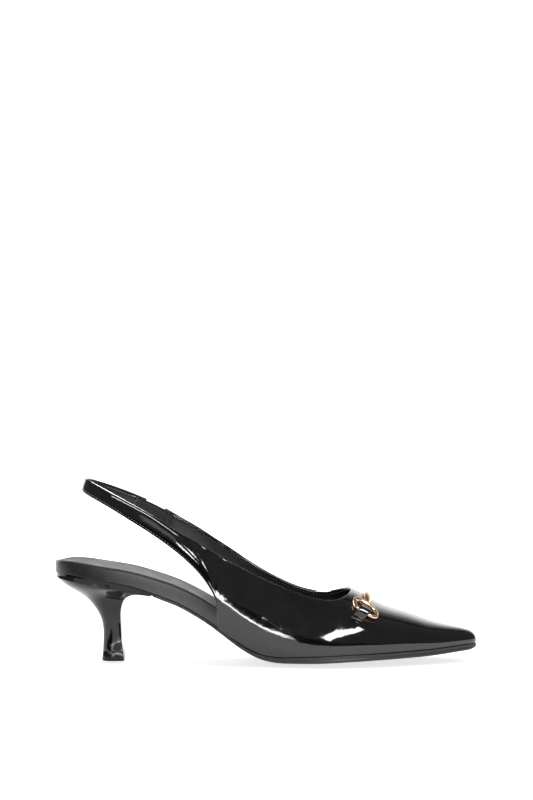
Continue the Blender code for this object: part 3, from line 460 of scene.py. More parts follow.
def ridge_at(x):
    """The ridge's point at x, behind the curve of the nose."""
    return np.array([x, *point_at(-x, -RIDGE_BEHIND[:, 0], RIDGE_BEHIND[:, 1:])])


def ridge_length_to(x):
    """How far the ridge's point at x lies from the toe's feather edge."""
    return float(np.interp(-x, -RIDGE_BEHIND[:, 0], RIDGE_PLACES))


def rib(foot, ridge, side):
    """Four control points of a section from the feather edge to the ridge."""
    lateral, medial, wall, shoulder = SECTION_CURVE(foot[0] / LAST_LENGTH)
    flare = (lateral if side == LATERAL else medial) * BALL_WIDTH * side
    rise = ridge[2] - foot[2]
    reach = abs(ridge[1] - foot[1])
    upright = foot + (0, flare, wall * rise)
    level = ridge + (0, side * shoulder * reach, 0)
    return np.array([foot, upright, level, ridge])


@functools.lru_cache(maxsize=20000)
def station(x, side):
    """The whole section of the last at x."""
    return rib(foot_at(x, UPPER_OUTLINE.y(x, side)), ridge_at(x), side)


def bezier(points, t):
    left = 1 - t
    weights = (left**3, 3 * left**2 * t, 3 * left * t**2, t**3)
    return sum(weight * point for weight, point in zip(weights, points))


def through(points):
    """The control points of the section that goes through four points, at even steps."""
    start, one, two, end = points
    third = (-5 * start + 18 * one - 9 * two + 2 * end) / 6
    far = (2 * start - 9 * one + 18 * two - 5 * end) / 6
    return np.array([start, third, far, end])


@functools.lru_cache(maxsize=20000)
def topline_share(x, side):
    """How far up the last's section the topline lies at x."""
    points = station(x, side)
    column = 0 if side == LATERAL else 1
    height = THROAT_HEIGHT + TOPLINE_CURVE(x / LAST_LENGTH)[column] * TOP_RISE
    low, high = 0.0, 1.0
    for _ in range(HALVINGS):
        middle = (low + high) / 2
        if bezier(points, middle)[2] < height:
            low = middle
        else:
            high = middle
    return high


def leaning_row(foot_x, foot_share, top_x, side):
    """A section of the last that leans: from a share of the height at one x up to the topline."""
    top_share = topline_share(top_x, side)
    points = []
    for k in range(4):
        x = foot_x + (top_x - foot_x) * k / 3
        share = foot_share + (top_share - foot_share) * k / 3
        points.append(bezier(station(x, side), share))
    return through(points)


def sling_rib(row, side):
    """Four control points of a section of the strap or of the quarter's back edge."""
    along, height, width, lean, low, high, medial, lift, belly = row
    turn = math.radians(lean)
    half = width * STRAP_WIDTH / 2
    middle = np.array([along * LAST_LENGTH, 0, THROAT_HEIGHT + height * TOP_RISE])
    up = np.array([math.sin(turn), 0, math.cos(turn)]) * half
    spread = QUARTER_WIDTH / 2 * side
    if side == MEDIAL:
        spread *= medial
        middle[2] += lift * STRAP_WIDTH
    lower = middle - up + (0, low * spread, 0)
    upper = middle + up + (0, high * spread, 0)
    out = np.array([0, belly * spread, 0])
    third = (upper - lower) / 3
    return np.array([lower, lower + third + out, upper - third + out, upper])


def vamp_rows(toe, vamp, side):
    """Sections from the toe to the throat, which end on the ridge. The first ones fan out from the
    toe's feather edge."""
    x_toe, x_throat = TOE_END * LAST_LENGTH, THROAT * LAST_LENGTH
    foot_way, ridge_way = UPPER_OUTLINE.length_to(x_toe, side), ridge_length_to(x_toe)
    rows = []
    for share in ((k / toe) ** TOE_CROWDING for k in range(1, toe + 1)):
        foot = foot_at(*UPPER_OUTLINE.from_toe(share * foot_way, side))
        rows.append(rib(foot, RIDGE_CURVE(share * ridge_way), side))
    return rows + [station(x, side) for x in np.linspace(x_toe, x_throat, vamp + 1)[1:]]


def edge_row(share, side):
    """A section that starts on the quarter's upright back edge, this share of the way up it."""
    corner = QUARTER_END * LAST_LENGTH
    top = (CORNER_TOP + (EDGE_TOP - CORNER_TOP) * share) * LAST_LENGTH
    foot_share = share * EDGE_SHARE * topline_share(corner, side)
    return leaning_row(corner, foot_share, top, side)


def sling_curve(sides):
    """The curve of sections that runs back from the quarter on one side, and round to the other."""
    first = sides[0]
    lead = [edge_row(share, first) for share in (0.4, 0.7, 1.0)]
    rows = lead + [sling_rib(row, first) for row in SLING]
    if len(sides) == 2:
        rows += [sling_rib(row, sides[1]) for row in SLING[-2::-1]]
    curve = along_points([row.reshape(-1) for row in rows])
    return curve, len(lead) - 1


def sling_place(curve, x, first, last):
    """Where along the curve, between two knots, the section's middle lies at x."""
    knots = curve.knots[first : last + 1]
    middles = curve.rows[first : last + 1].reshape(-1, 4, 3)[:, (0, 3), 0].mean(axis=1)
    order = np.argsort(middles)
    return float(np.interp(x, middles[order], knots[order]))


def wing_rows(side, quarter, edge, back):
    """Every section from the throat back: the quarter's, which lean more and more, those of its
    upright edge, and the strap's as far as the elastic. On the lateral side they run on round the
    heel."""
    throat = THROAT * LAST_LENGTH
    foot, top = QUARTER_END * LAST_LENGTH - throat, CORNER_TOP * LAST_LENGTH - throat
    shares = [(k / quarter) ** QUARTER_CROWDING for k in range(1, quarter + 1)]
    rows = [leaning_row(throat + foot * k, 0.0, throat + top * k, side) for k in shares]
    rows += [edge_row(k / edge, side) for k in range(1, edge + 1)]
    if side == LATERAL:
        curve, lead = sling_curve((LATERAL, MEDIAL))
        first, end_at = lead + len(SLING), ELASTIC_BACK
    else:
        curve, lead = sling_curve((MEDIAL,))
        first, end_at = lead, ELASTIC_FRONT
    end = sling_place(curve, end_at * LAST_LENGTH, first, len(curve.knots) - 1)
    places = np.linspace(curve.knots[lead], end, back + 1)[1:]
    return rows + [curve(place).reshape(4, 3) for place in places]


def upper_surface(toe, vamp, quarter, strap, wing, across):
    """Points and faces of the upper's outer face: vamp, both quarters and the sling strap."""
    points, faces = [], []
    shares = np.linspace(0, 1, across + 1)

    def add(row, ridge=None):
        line = [bezier(row, t) for t in (shares if ridge is None else shares[:-1])]
        first = len(points)
        points.extend(line)
        indices = list(range(first, first + len(line)))
        return indices if ridge is None else [*indices, ridge]

    def join(before, after, side):
        for k in range(across):
            quad = [before[k], after[k], after[k + 1], before[k + 1]]
            faces.append(quad if side == MEDIAL else quad[::-1])

    points.append(RIDGE_CURVE(0))
    lateral_rows = vamp_rows(toe, vamp, LATERAL)
    medial_rows = vamp_rows(toe, vamp, MEDIAL)
    before = None
    for lateral_row, medial_row in zip(lateral_rows, medial_rows):
        lateral = add(lateral_row)
        medial = add(medial_row, lateral[-1])
        if before is None:
            for k in range(across):
                faces.append([0, lateral[k + 1], lateral[k]])
                faces.append([0, medial[k], medial[k + 1]])
        else:
            join(before[0], lateral, LATERAL)
            join(before[1], medial, MEDIAL)
        before = (lateral, medial)
    lateral, medial = before
    for side, before, back in ((LATERAL, lateral, strap), (MEDIAL, medial, wing)):
        for row in wing_rows(side, quarter, EDGE_STEPS, back):
            indices = add(row)
            join(before, indices, side)
            before = indices
    return points, faces


@functools.lru_cache(maxsize=20000)
def vamp_line(x, side):
    """The vamp's section from the ridge down, and how far each of its points is along it."""
    row = station(x, side)
    line = np.array([bezier(row, t) for t in np.linspace(1, LINE_END, LINE_STEPS)])
    return gone_along(line), line


def on_vamp(x, distance, side):
    """A point of the vamp's outer face, so far from the ridge, with its toe, down and out ways."""

    def point(x, far):
        return point_at(far, *vamp_line(x, side))

    place = point(x, distance)
    down = point(x, distance + VAMP_STEP) - point(x, max(distance - VAMP_STEP, 0.0))
    ahead = point(x + VAMP_STEP, distance) - point(x - VAMP_STEP, distance)
    out = unit(np.cross(down, ahead)) * side
    return place, unit(ahead), unit(down), out if out[2] > 0 else -out


def ring_frame(side):
    """The ring's middle, and its ways along the shoe, down the vamp and out of it."""
    x = TRIM_PLACE * LAST_LENGTH - RING_BACK
    place, ahead, down, out = on_vamp(x, RING_REACH, side)
    return place + out * (RING_WIRE / 2 + FIT_GAP + RING_LIFT), ahead, down, out


# Sizes that only the picture needs, in metres where they are no shares
EDGE_BULGE = 0.00028  # how far the upper's turned edge stands out
FACING_WIDTH = 0.0027  # band of patent leather folded to the inside along the topline
FACING_STEP = 0.00022
FACING_SINK = 0.00006  # how far the band's edges reach into the wall
FACING_PROFILE = (  # distance from the topline, and height on the wall's inner face
    (0.0002, -FACING_SINK),
    (0.0006, FACING_STEP * 0.7),
    (0.0011, FACING_STEP),
    (FACING_WIDTH - 0.0003, FACING_STEP),
    (FACING_WIDTH, FACING_STEP * 0.5),
    (FACING_WIDTH, -FACING_SINK),
)
FACING_STITCH = 0.0007  # from the band's lower edge to its seam
STITCH_PITCH = 0.0021
STITCH_LENGTH = 0.0015
STITCH_THICKNESS = 0.00050
STITCH_END = 0.02  # least share of the thread's section that is left at a stitch's ends
STITCH_BULK = 0.42  # how far a stitch's middle stands out, as a share of its thickness
STITCH_SINK = 0.3  # and how deep the whole stitch is drawn in
HEEL_SHADE_SHARE = 0.28  # share of the heel's length, from its front, that runs on as a thin lip under the waist and gets painted shade
HEEL_BEVEL, TIP_BEVEL = 0.0005, 0.00025
HEEL_WEIGHTS = (1, 1, 1, 1, 3, 0.5)  # weight of each column in the steps between sections
HEEL_LEAST = 0.004  # least half width of a section, as a share of the seat width
HEEL_FILL, HEEL_BELLY = 1.45, 0.9  # how soon a section is at its full width, and how round it is
HEEL_WIDEST = 0.35  # share of a section's length where it starts to narrow to the breast
EDGE_STITCH = 0.0012  # from the strap's edge to its seam
SOCK_STITCH = 0.00128  # from the sock's edge to its seam
SOCK_ROUND = (0.4, 0.55)  # rounding of its lower and its upper edge, as shares of its thickness
SOCK_GAP_SHARE = 0.3  # share of the fit gap that is left under the sock's padding
GROOVE_DEPTH = 0.00016  # line round the outsole's edge
GROOVE = ((0.50, 0.0), (0.56, GROOVE_DEPTH), (0.62, 0.0))  # places up the edge, and their depth
SOLE_TOP_ROUND = 0.0003
BED_LOW_ROUND = 0.0005
WAIST_END, WAIST_BLEND = 0.36, 0.09  # along the last: where the outsole grows past the board
# Where the middle line starts and ends that a plate's loops close on
BED_SPINE, SOCK_SPINE, SOLE_SPINE = (0.020, 0.245), (0.022, 0.243), (0.063, 0.247)
RIB_PITCH = 0.0015  # ribs of the elastic
RIB_HEIGHT = 0.00032
ELASTIC_SQUARE = (0.35, 0.6)  # powers of its section, across and through: 0 is a square edge
ELASTIC_WIDTH, ELASTIC_FLARE = 0.84, 0.24  # its width and what the seam adds, of the strap's
ELASTIC_SEAM = 1.5  # how much thicker the elastic is where the strap's end is sewn to it
ELASTIC_FADE = 0.0015  # length over which that seam ends
ELASTIC_THREADS = (0.14, 0.38, 0.62, 0.86)  # places across the strap of the threads in each dip
ELASTIC_THREAD = (0.0012, 0.0008, 0.0004)  # their pitch, length and thickness
STRAP_CROWN = 0.00035  # how much the strap's middle stands out past its edges
CROWN_START = 0.012  # length over which that begins at the quarter's corner
EDGE_ROLL = 0.00035  # how much the strap's and the quarter's edge turns in
EDGE_ROLL_REACH = 0.0018
SEAM_DIP = 0.00012  # how deep the seam along that edge is drawn in
SEAM_HALF = 0.00045
PUCKER = 0.6  # share by which the seam's depth changes from stitch to stitch
SEAT_START = 0.00005  # from the heel's outline to its rearmost points
TIP_LOW = ((0.0, 0.6), (0.0006, 1.0), (0.0030, 0.6))  # the top piece's heights and shares of flare
TIP_HIGH = ((-0.0002, 0.05), (0.0, -0.3))  # the same from its upper face
RING_POWER = 2 / 3  # 1 makes the ring an ellipse, 0 a rectangle
RING_STEP = 2e-4  # length over which the wire's direction is found
BAR_START = 0.02  # first section on each side of the ridge, as a share of the bar's reach
HEAVY_FROM = 0.35  # share of the ring's half width where its wire starts to thicken
TAB_EDGE = 0.12  # how far the tab's rounded edge stands out, as a share of its half width
TAB_NARROW = 0.9  # the rest of its width
TAB_SEAMS, TAB_SEAM_WIDTH = (0.62, 0.88), 0.72  # places of its length, and share of its width
TAB_FLAT = ((1.0, 0.0), (0.78, 0.0), (0.55, FIT_GAP / 3))  # places of its length, and their rise
TAB_TURN = 1.12  # where its loop starts, in half widths of the loop
TAB_THREAD = (0.0011, 0.0008, 0.0003)  # pitch, length and thickness of their stitches

# Detail: how finely each piece is cut
DETAIL = 1.0
EDGE_STEPS = 5  # sections up the quarter's upright edge
WING_FIRST = 50  # sections of a wing's grid before the quarter's corner
PLATE_LOOPS = 18  # loops from a plate's spine to its edge
ELASTIC_STEP, TAB_STEP = 0.0005, 0.0002  # half steps that show which way a curve runs
TINY = 1e-12

# The camera, as worked out from the photo
CAMERA_AZIMUTH = 2.5  # degrees towards the toe
CAMERA_PITCH = 1.0  # degrees down
CAMERA_ROLL = 0.15
FOCAL_PIXELS = 2500.0
PIXEL_SIZE = 0.000622  # metres at the shoe for one pixel
PHOTO_WIDTH, PHOTO_HEIGHT = 533, 800
BALL_PIXEL = (266.0, 660.5)  # where the photo shows the tread under the ball
BALL_PLACE = (0.131, 0.0, 0.0)  # that point, in the tables' places
SENSOR = 36.0  # millimetres


def fine(count):
    return max(int(count * DETAIL), 3)


def frame_shift():
    """From the tables' places to the frame's: the footbed's back end and its middle show it."""
    low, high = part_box("footbed")
    y_low, y_high = BOARD.sides[LATERAL][:, 1].min(), BOARD.sides[MEDIAL][:, 1].max()
    return np.array([low[0], (low[1] + high[1] - y_low - y_high) / 2, 0.0])


SHIFT = frame_shift()


def mesh_of(name, points, faces):
    mesh = bpy.data.meshes.new(name)
    mesh.from_pydata((np.asarray(points, float) + SHIFT).tolist(), [], [list(f) for f in faces])
    mesh.update()
    mesh.shade_smooth()
    return mesh


def add_piece(name, mesh, materials, slot, *nodes):
    """Puts a piece into the scene, on the part's one body, in place of CAD nodes if it has any."""
    for each in materials:
        mesh.materials.append(material(each))
    piece = bpy.data.objects.new(name, mesh)
    bpy.context.scene.collection.objects.link(piece)
    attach(piece, "root")
    if nodes:
        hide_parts(*nodes)
    return piece


def turn_outwards(mesh):
    mesh.calc_loop_triangles()
    places = np.array([vertex.co for vertex in mesh.vertices])
    corners = places[np.array([triangle.vertices for triangle in mesh.loop_triangles])]
    if np.linalg.det(corners).sum() < 0:
        mesh.flip_normals()


def loft_faces(rings, count, closed=False, caps=True):
    faces = []
    for i in range(rings if closed else rings - 1):
        here, there = i * count, (i + 1) % rings * count
        for k in range(count):
            after = (k + 1) % count
            faces.append([here + k, here + after, there + after, there + k])
    if caps and not closed:
        faces.append(list(range(count))[::-1])
        faces.append(list(range((rings - 1) * count, rings * count)))
    return faces


def loft_mesh(name, rings, closed=False, caps=True):
    rings = [np.asarray(ring, float) for ring in rings]
    mesh = mesh_of(name, np.concatenate(rings), loft_faces(len(rings), len(rings[0]), closed, caps))
    turn_outwards(mesh)
    return mesh


def bevelled(piece, width):
    bevel = piece.modifiers.new("rounded edges", "BEVEL")
    bevel.width = width
    bevel.segments = 3
    bevel.limit_method = "ANGLE"
    bevel.angle_limit = math.radians(40)
    bevel.harden_normals = True


# Upper


def point_normals(points, faces):
    """Smooth normals of a mesh's points."""
    normals = np.zeros_like(points)
    for face in faces:
        corners = points[face]
        across = corners[2] - corners[0]
        if len(face) == 4:
            normals[face] += np.cross(across, corners[3] - corners[1])
        else:
            normals[face] += np.cross(corners[1] - corners[0], across)
    return normals / np.maximum(np.linalg.norm(normals, axis=1), TINY)[:, None]


def shell(points, faces, wall, bulge, turns):
    """A closed wall below an open surface, with a rounded rim. Gives points, faces, inner faces."""
    count = len(points)
    normals = point_normals(points, faces)
    used = {(a, b): True for face in faces for a, b in zip(face, face[1:] + face[:1])}
    rim = [(a, b) for a, b in used if (b, a) not in used]
    outwards = np.zeros_like(points)
    for a, b in rim:
        for k in (a, b):
            outwards[k] += np.cross(points[b] - points[a], normals[k])
    on_rim = sorted({k for edge in rim for k in edge})
    outwards[on_rim] /= np.linalg.norm(outwards[on_rim], axis=1)[:, None]
    all_points = [points, points - normals * wall]
    for turn in range(1, turns):
        angle = math.pi * turn / turns
        below = normals[on_rim] * (math.cos(angle) - 1) * wall / 2
        all_points.append(points[on_rim] + below + outwards[on_rim] * math.sin(angle) * bulge)
    ring_at = {
        k: [k, *(2 * count + turn * len(on_rim) + place for turn in range(turns - 1)), count + k]
        for place, k in enumerate(on_rim)
    }
    inner = [[count + k for k in face[::-1]] for face in faces]
    edge = [
        [ring_at[b][turn], ring_at[a][turn], ring_at[a][turn + 1], ring_at[b][turn + 1]]
        for a, b in rim
        for turn in range(turns)
    ]
    return np.concatenate(all_points), faces + edge, inner


def grid_normals(grid, row):
    """Outward normals of a wing's sections; the row given is one at its side."""
    normals = np.cross(np.gradient(grid, axis=0), np.gradient(grid, axis=1))
    normals /= np.maximum(np.linalg.norm(normals, axis=2), TINY)[:, :, None]
    middle = grid.shape[1] // 2
    return normals * math.copysign(1, normals[row, middle, 1] * grid[row, middle, 1])


def crown_wing(grid, first):
    """Rounds the strap and the quarter's back edge, and draws their seam in."""
    normals = grid_normals(grid, first)
    along = gone_along(grid[:, 0])
    along -= along[first]
    for k in range(first, len(grid)):
        gone = gone_along(grid[k])
        share = smooth_step(along[k] / CROWN_START)
        wave = 1 + PUCKER * math.cos(2 * math.pi * along[k] / STITCH_PITCH)
        crown = STRAP_CROWN * (1 - (gone / gone[-1] * 2 - 1) ** 4)
        roll = EDGE_ROLL * np.exp(-gone / EDGE_ROLL_REACH)
        dip = SEAM_DIP * wave * np.exp(-(((gone - EDGE_STITCH) / SEAM_HALF) ** 2))
        grid[k] += normals[k] * ((crown - roll - dip) * share)[:, None]
    return grid


def upper():
    toe, vamp, quarter = fine(34), fine(30), fine(56)
    strap, wing, across = fine(430), fine(170), fine(32)
    points, faces = upper_surface(toe, vamp, quarter, strap, wing, across)
    points = np.array(points)
    start = 1 + (toe + vamp) * (2 * across + 1)
    for rows in (quarter + EDGE_STEPS + strap, quarter + EDGE_STEPS + wing):
        end = start + rows * (across + 1)
        grid = points[start:end].reshape(rows, across + 1, 3)
        points[start:end] = crown_wing(grid, quarter).reshape(-1, 3)
        start = end
    points, outer, inner = shell(points, faces, UPPER_WALL, EDGE_BULGE, 6)
    mesh = mesh_of("upper_shell", points, outer + inner)
    lining = np.zeros(len(outer) + len(inner), np.int32)
    lining[len(outer) :] = 1
    mesh.polygons.foreach_set("material_index", lining)
    materials = ["patent_leather_gloss", "lining_leather"]
    add_piece("upper_shell", mesh, materials, "patent_leather", "upper")


def wing_grid(side):
    """Points and outward normals of one wing, from the throat along the quarter's edge and the
    strap, as sections by shares across."""
    rows = wing_rows(side, WING_FIRST, 12, 170 if side == LATERAL else 70)
    places = np.array([[bezier(row, share) for share in np.linspace(0, 1, 33)] for row in rows])
    places = crown_wing(places, WING_FIRST)
    return places, grid_normals(places, WING_FIRST)


def line_on_wing(grid, rows, distance, from_top, depth):
    """A line along the wing, so far from its edge and so deep below its face, and its normals."""
    way = -1 if from_top else 1
    found, ways = [], []
    for k in rows:
        line, normals = grid[0][k][::way], grid[1][k][::way]
        gone = gone_along(line)
        ways.append(unit(point_at(distance, gone, normals)))
        found.append(point_at(distance, gone, line) - ways[-1] * depth)
    return np.array(found), np.array(ways)


def facing(side, grid):
    """The patent leather folded in along the topline: a thin band on the wing's inner face."""
    rows = range(len(grid[0]) - 1)
    lines = []
    for far, step in FACING_PROFILE:
        lines.append(line_on_wing(grid, rows, far, True, UPPER_WALL + step)[0])
    name = f"facing_{WORDS[side]}"
    mesh = loft_mesh(name, np.array(lines).transpose(1, 0, 2))
    add_piece(name, mesh, ["patent_leather_gloss"], "patent_leather")


def round_section(centre, wide, high, sides):
    """A closed ring of points round a centre, from its two half axes."""
    turns = 2 * math.pi * np.arange(sides) / sides
    return centre + np.outer(np.cos(turns), wide) + np.outer(np.sin(turns), high)


def stitch_row(name, paths, slot, pitch=STITCH_PITCH, length=STITCH_LENGTH, thick=STITCH_THICKNESS):
    """One piece of short rounded threads along paths: each is points, normals and facing."""
    rings, sides = 6, 6
    points = []
    for path, normals, faces_out in paths:
        gone = gone_along(path)
        for start in np.arange(pitch / 2, gone[-1] - length, pitch):
            middle = start + length / 2
            place = point_at(middle, gone, path)
            ahead = unit(point_at(middle + length / 2, gone, path) - place)
            normal = unit(point_at(middle, gone, normals)) * faces_out
            beside = np.cross(normal, ahead)
            for share in np.linspace(-1, 1, rings):
                round_end = math.sqrt(max(1 - share**4, STITCH_END))
                out = normal * thick * (STITCH_BULK * round_end - STITCH_SINK)
                half = thick / 2 * round_end
                centre = place + ahead * share * length / 2 + out
                points.extend(round_section(centre, beside * half, normal * half, sides))
    each = loft_faces(rings, sides)
    starts = range(0, len(points), rings * sides)
    faces = [[start + k for k in face] for start in starts for face in each]
    mesh = mesh_of(name, points, faces)
    turn_outwards(mesh)
    # The threads are lighter than black: painted highlight along the seams
    add_piece(name, mesh, ["thread_grey_painted_highlight"], slot)


def upper_stitches():
    """Seams along the strap and the quarter's back edge, outside and inside."""
    paths = []
    for side in (LATERAL, MEDIAL):
        grid = wing_grid(side)
        facing(side, grid)
        every = range(len(grid[0]) - 1)
        behind = every[WING_FIRST:]
        paths.append((*line_on_wing(grid, behind, EDGE_STITCH, False, 0.0), 1.0))
        paths.append((*line_on_wing(grid, behind, EDGE_STITCH, False, UPPER_WALL), -1.0))
        depth = UPPER_WALL + FACING_STEP
        paths.append((*line_on_wing(grid, every, FACING_WIDTH - FACING_STITCH, True, depth), -1.0))
    stitch_row("upper_stitches", paths, "patent_leather")


# Sole and footbed


def closed_outline(outline, count):
    """Evenly spaced points round a closed outline."""
    lateral, medial = outline.sides[LATERAL], outline.sides[MEDIAL]
    loop = np.concatenate([lateral, medial[::-1], lateral[:1]])
    gone = gone_along(loop)
    places = np.linspace(0, gone[-1], count, endpoint=False)
    return np.array([point_at(place, gone, loop) for place in places])


def inset_outline(loop, margin):
    """A closed loop of points moved inwards."""
    ahead = np.roll(loop, -1, axis=0) - np.roll(loop, 1, axis=0)
    ahead /= np.linalg.norm(ahead, axis=1)[:, None]
    return loop - np.stack([ahead[:, 1], -ahead[:, 0]], 1) * margin


def towards_spine(loop, middle_and_half, share, start, end):
    """A loop drawn in towards the middle line of the outline, all the way at share 0."""
    along = [min(max(x, start), end) for x, _ in loop]
    spine = np.array([(x, middle_and_half(x)[0]) for x in along])
    return spine + (loop - spine) * share


def plate_mesh(name, middle_and_half, loop, low, high, side_profile, ends):
    """A plate from nested loops: its underside, its edge by the profile, and its top.

    The side profile's rows are an inset, a share from the underside to the top, and a rise."""
    shares = [math.sin(math.pi / 2 * k / PLATE_LOOPS) for k in range(PLATE_LOOPS)]

    def lifted(flat, share, rise):
        ring = []
        for x, y in flat:
            middle, half = middle_and_half(x)
            q = max(-1.0, min(1.0, (y - middle) / max(half, 1e-5)))
            bottom, top = low(x, q), high(x, q)
            ring.append((x, y, bottom + (top - bottom) * share + rise))
        return ring

    def filled(inset, at, order):
        inner = inset_outline(loop, inset)
        return [lifted(towards_spine(inner, middle_and_half, s, *ends), at, 0.0) for s in order]

    rings = filled(side_profile[0][0], 0.0, shares)
    rings += [lifted(inset_outline(loop, inset), *rest) for inset, *rest in side_profile]
    rings += filled(side_profile[-1][0], 1.0, shares[::-1])
    return loft_mesh(name, rings, caps=False)


def rounded_profile(low_round, high_round, dents=()):
    """The side of a plate: two rounded corners, with dents between them."""
    turns = [math.pi / 2 * k / 5 for k in range(6)]
    low = [(low_round * (1 - math.sin(a)), 0.0, low_round * (1 - math.cos(a))) for a in turns]
    high = [(high_round * (1 - math.cos(a)), 1.0, -high_round * (1 - math.sin(a))) for a in turns]
    return low + [(inset, share, 0.0) for share, inset in dents] + high


def footbed():
    name = "footbed_wrapped"
    loop = closed_outline(BOARD, fine(420))
    profile = rounded_profile(BED_LOW_ROUND, BED_ROUND)
    middle = BOARD.middle_and_half
    mesh = plate_mesh(name, middle, loop, bed_bottom, bed_top, profile, BED_SPINE)
    add_piece(name, mesh, ["rand_leather_semi_gloss"], "rand_leather", "footbed")


def sock():
    loop = closed_outline(BOARD.grown(-SOCK_MARGIN), fine(420))

    def low(x, q):
        return bed_top(x, q) + FIT_GAP * SOCK_GAP_SHARE

    def high(x, q):
        return bed_top(x, q) + FIT_GAP + SOCK_THICKNESS

    def middle_and_half(x):
        middle, half = BOARD.middle_and_half(x)
        return middle, max(half - BED_ROUND, half * 0.4)

    profile = rounded_profile(*(SOCK_THICKNESS * share for share in SOCK_ROUND))
    mesh = plate_mesh("sock_padded", middle_and_half, loop, low, high, profile, SOCK_SPINE)
    add_piece("sock_padded", mesh, ["sock_leather_matte"], "sock_leather", "sock")
    path = []
    for x, y in inset_outline(loop, SOCK_STITCH):
        middle, half = middle_and_half(x)
        path.append((x, y, high(x, (y - middle) / half)))
    normals = np.tile([0.0, 0.0, 1.0], (len(path), 1))
    stitch_row("sock_stitches", [(np.array(path), normals, 1.0)], "sock_leather")


def sole_outline():
    """The outsole's outline from the heel's lip to the toe, narrower at the waist."""
    waist = BOARD.grown(-SOLE_MARGIN)
    waist_end = WAIST_END * LAST_LENGTH
    sides = []
    for side in (LATERAL, MEDIAL):
        xs = np.linspace(HEEL_LENGTH + FIT_GAP, waist_end, 20, endpoint=False)
        points = [(x, waist.y(x, side)) for x in xs]
        for x, y in SOLE_OUTLINE.sides[side]:
            if x >= waist_end:
                share = smooth_step((x / LAST_LENGTH - WAIST_END) / WAIST_BLEND)
                points.append((x, waist.y(x, side) + (y - waist.y(x, side)) * share))
        sides.append(np.array(points))
    return Outline(*sides)


def outsole():
    name = "outsole_edge"
    outline = sole_outline()
    loop = closed_outline(outline, fine(440))
    profile = rounded_profile(SOLE_BEVEL, SOLE_TOP_ROUND, GROOVE)
    middle = outline.middle_and_half
    mesh = plate_mesh(name, middle, loop, tread_height, sole_top, profile, SOLE_SPINE)
    add_piece(name, mesh, ["sole_rubber_satin"], "sole_rubber", "outsole")


# Heel


def heel_rings(side_count, rows):
    """The heel's sections from the seat down, as closed loops of points."""
    outline = BOARD.grown(-HEEL_INSET)
    front_count = fine(14)
    seat_back = outline.sides[LATERAL][0][0] + SEAT_START
    turns = [math.pi / 2 * k / side_count for k in range(side_count + 1)]

    def closed(lateral, medial):
        shares = [k / front_count for k in range(1, front_count)]
        ahead = [lateral[-1] + (medial[-1] - lateral[-1]) * share for share in shares]
        return np.array([*lateral, *ahead, *medial[::-1]])

    def seat(drop):
        xs = [seat_back + (HEEL_LENGTH - seat_back) * (1 - math.cos(turn)) for turn in turns]
        sides = [[(x, outline.y(x, s), sole_top(x, 1.0) - drop) for x in xs] for s in WORDS]
        return closed(*np.array(sides))

    def section(row):
        back, back_height, front, front_height, width, flat = row
        lateral = []
        for turn in turns:
            share = 1 - math.cos(turn)
            x = (back + (front - back) * share) * HEEL_LENGTH
            z = (back_height + (front_height - back_height) * share) * SEAT_HEIGHT
            belly = math.sin(min(turn * HEEL_FILL, math.pi / 2)) ** HEEL_BELLY
            narrowing = 1 - (1 - flat) * smooth_step((share - HEEL_WIDEST) / (1 - HEEL_WIDEST))
            lateral.append((x, -max(width * belly * narrowing, HEEL_LEAST) * SEAT_WIDTH, z))
        lateral = np.array(lateral)
        return closed(lateral, lateral * (1, -1, 1))

    curve = along_points(np.array(HEEL) * HEEL_WEIGHTS)
    places = np.linspace(0, curve.knots[-1], rows)
    sections = [section(curve(place) / HEEL_WEIGHTS) for place in places]
    return [seat(HEEL_RIM * share) for share in (0, 0.3, 0.7, 1)] + sections


def heel():
    side_count = fine(44)
    rings = heel_rings(side_count, fine(60))
    count = len(rings[0])
    faces = loft_faces(len(rings), count, caps=False)
    for k in range(side_count - 1):
        faces.append([k + 1, k, count - 1 - k, count - 2 - k])
    faces.append(list(range(side_count - 1, count - side_count + 1))[::-1])
    faces.append(list(range((len(rings) - 1) * count, len(rings) * count)))
    mesh = mesh_of("heel_covered", np.concatenate(rings), faces)
    turn_outwards(mesh)
    low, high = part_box("heel")
    # The heel's front, its lip under the waist, gets painted shade in place of patent leather
    lip = high[0] - (high[0] - low[0]) * HEEL_SHADE_SHARE
    for face in mesh.polygons:
        face.material_index = int(face.center.x > lip)
    materials = ["heel_leather_gloss", "lip_painted_shade"]
    bevelled(add_piece("heel_covered", mesh, materials, "patent_leather", "heel"), HEEL_BEVEL)
    top_piece(rings[-1])


def top_piece(foot):
    """The heel's top piece, from the heel's last section."""
    name = "heel_top_piece"
    outwards = foot[:, :2] - foot[:, :2].mean(axis=0)
    outwards /= np.linalg.norm(outwards, axis=1)[:, None]
    top = foot[:, 2].min() - FIT_GAP
    rings = []
    for height, grow in (*TIP_LOW, *((top + rise, grow) for rise, grow in TIP_HIGH)):
        flat = foot[:, :2] + outwards * TIP_FLARE * grow
        rings.append([(x, y, height) for x, y in flat])
    mesh = loft_mesh(name, rings)
    bevelled(add_piece(name, mesh, ["heel_tip_rubber"], "sole_rubber", "heel_tip"), TIP_BEVEL)


# Elastic


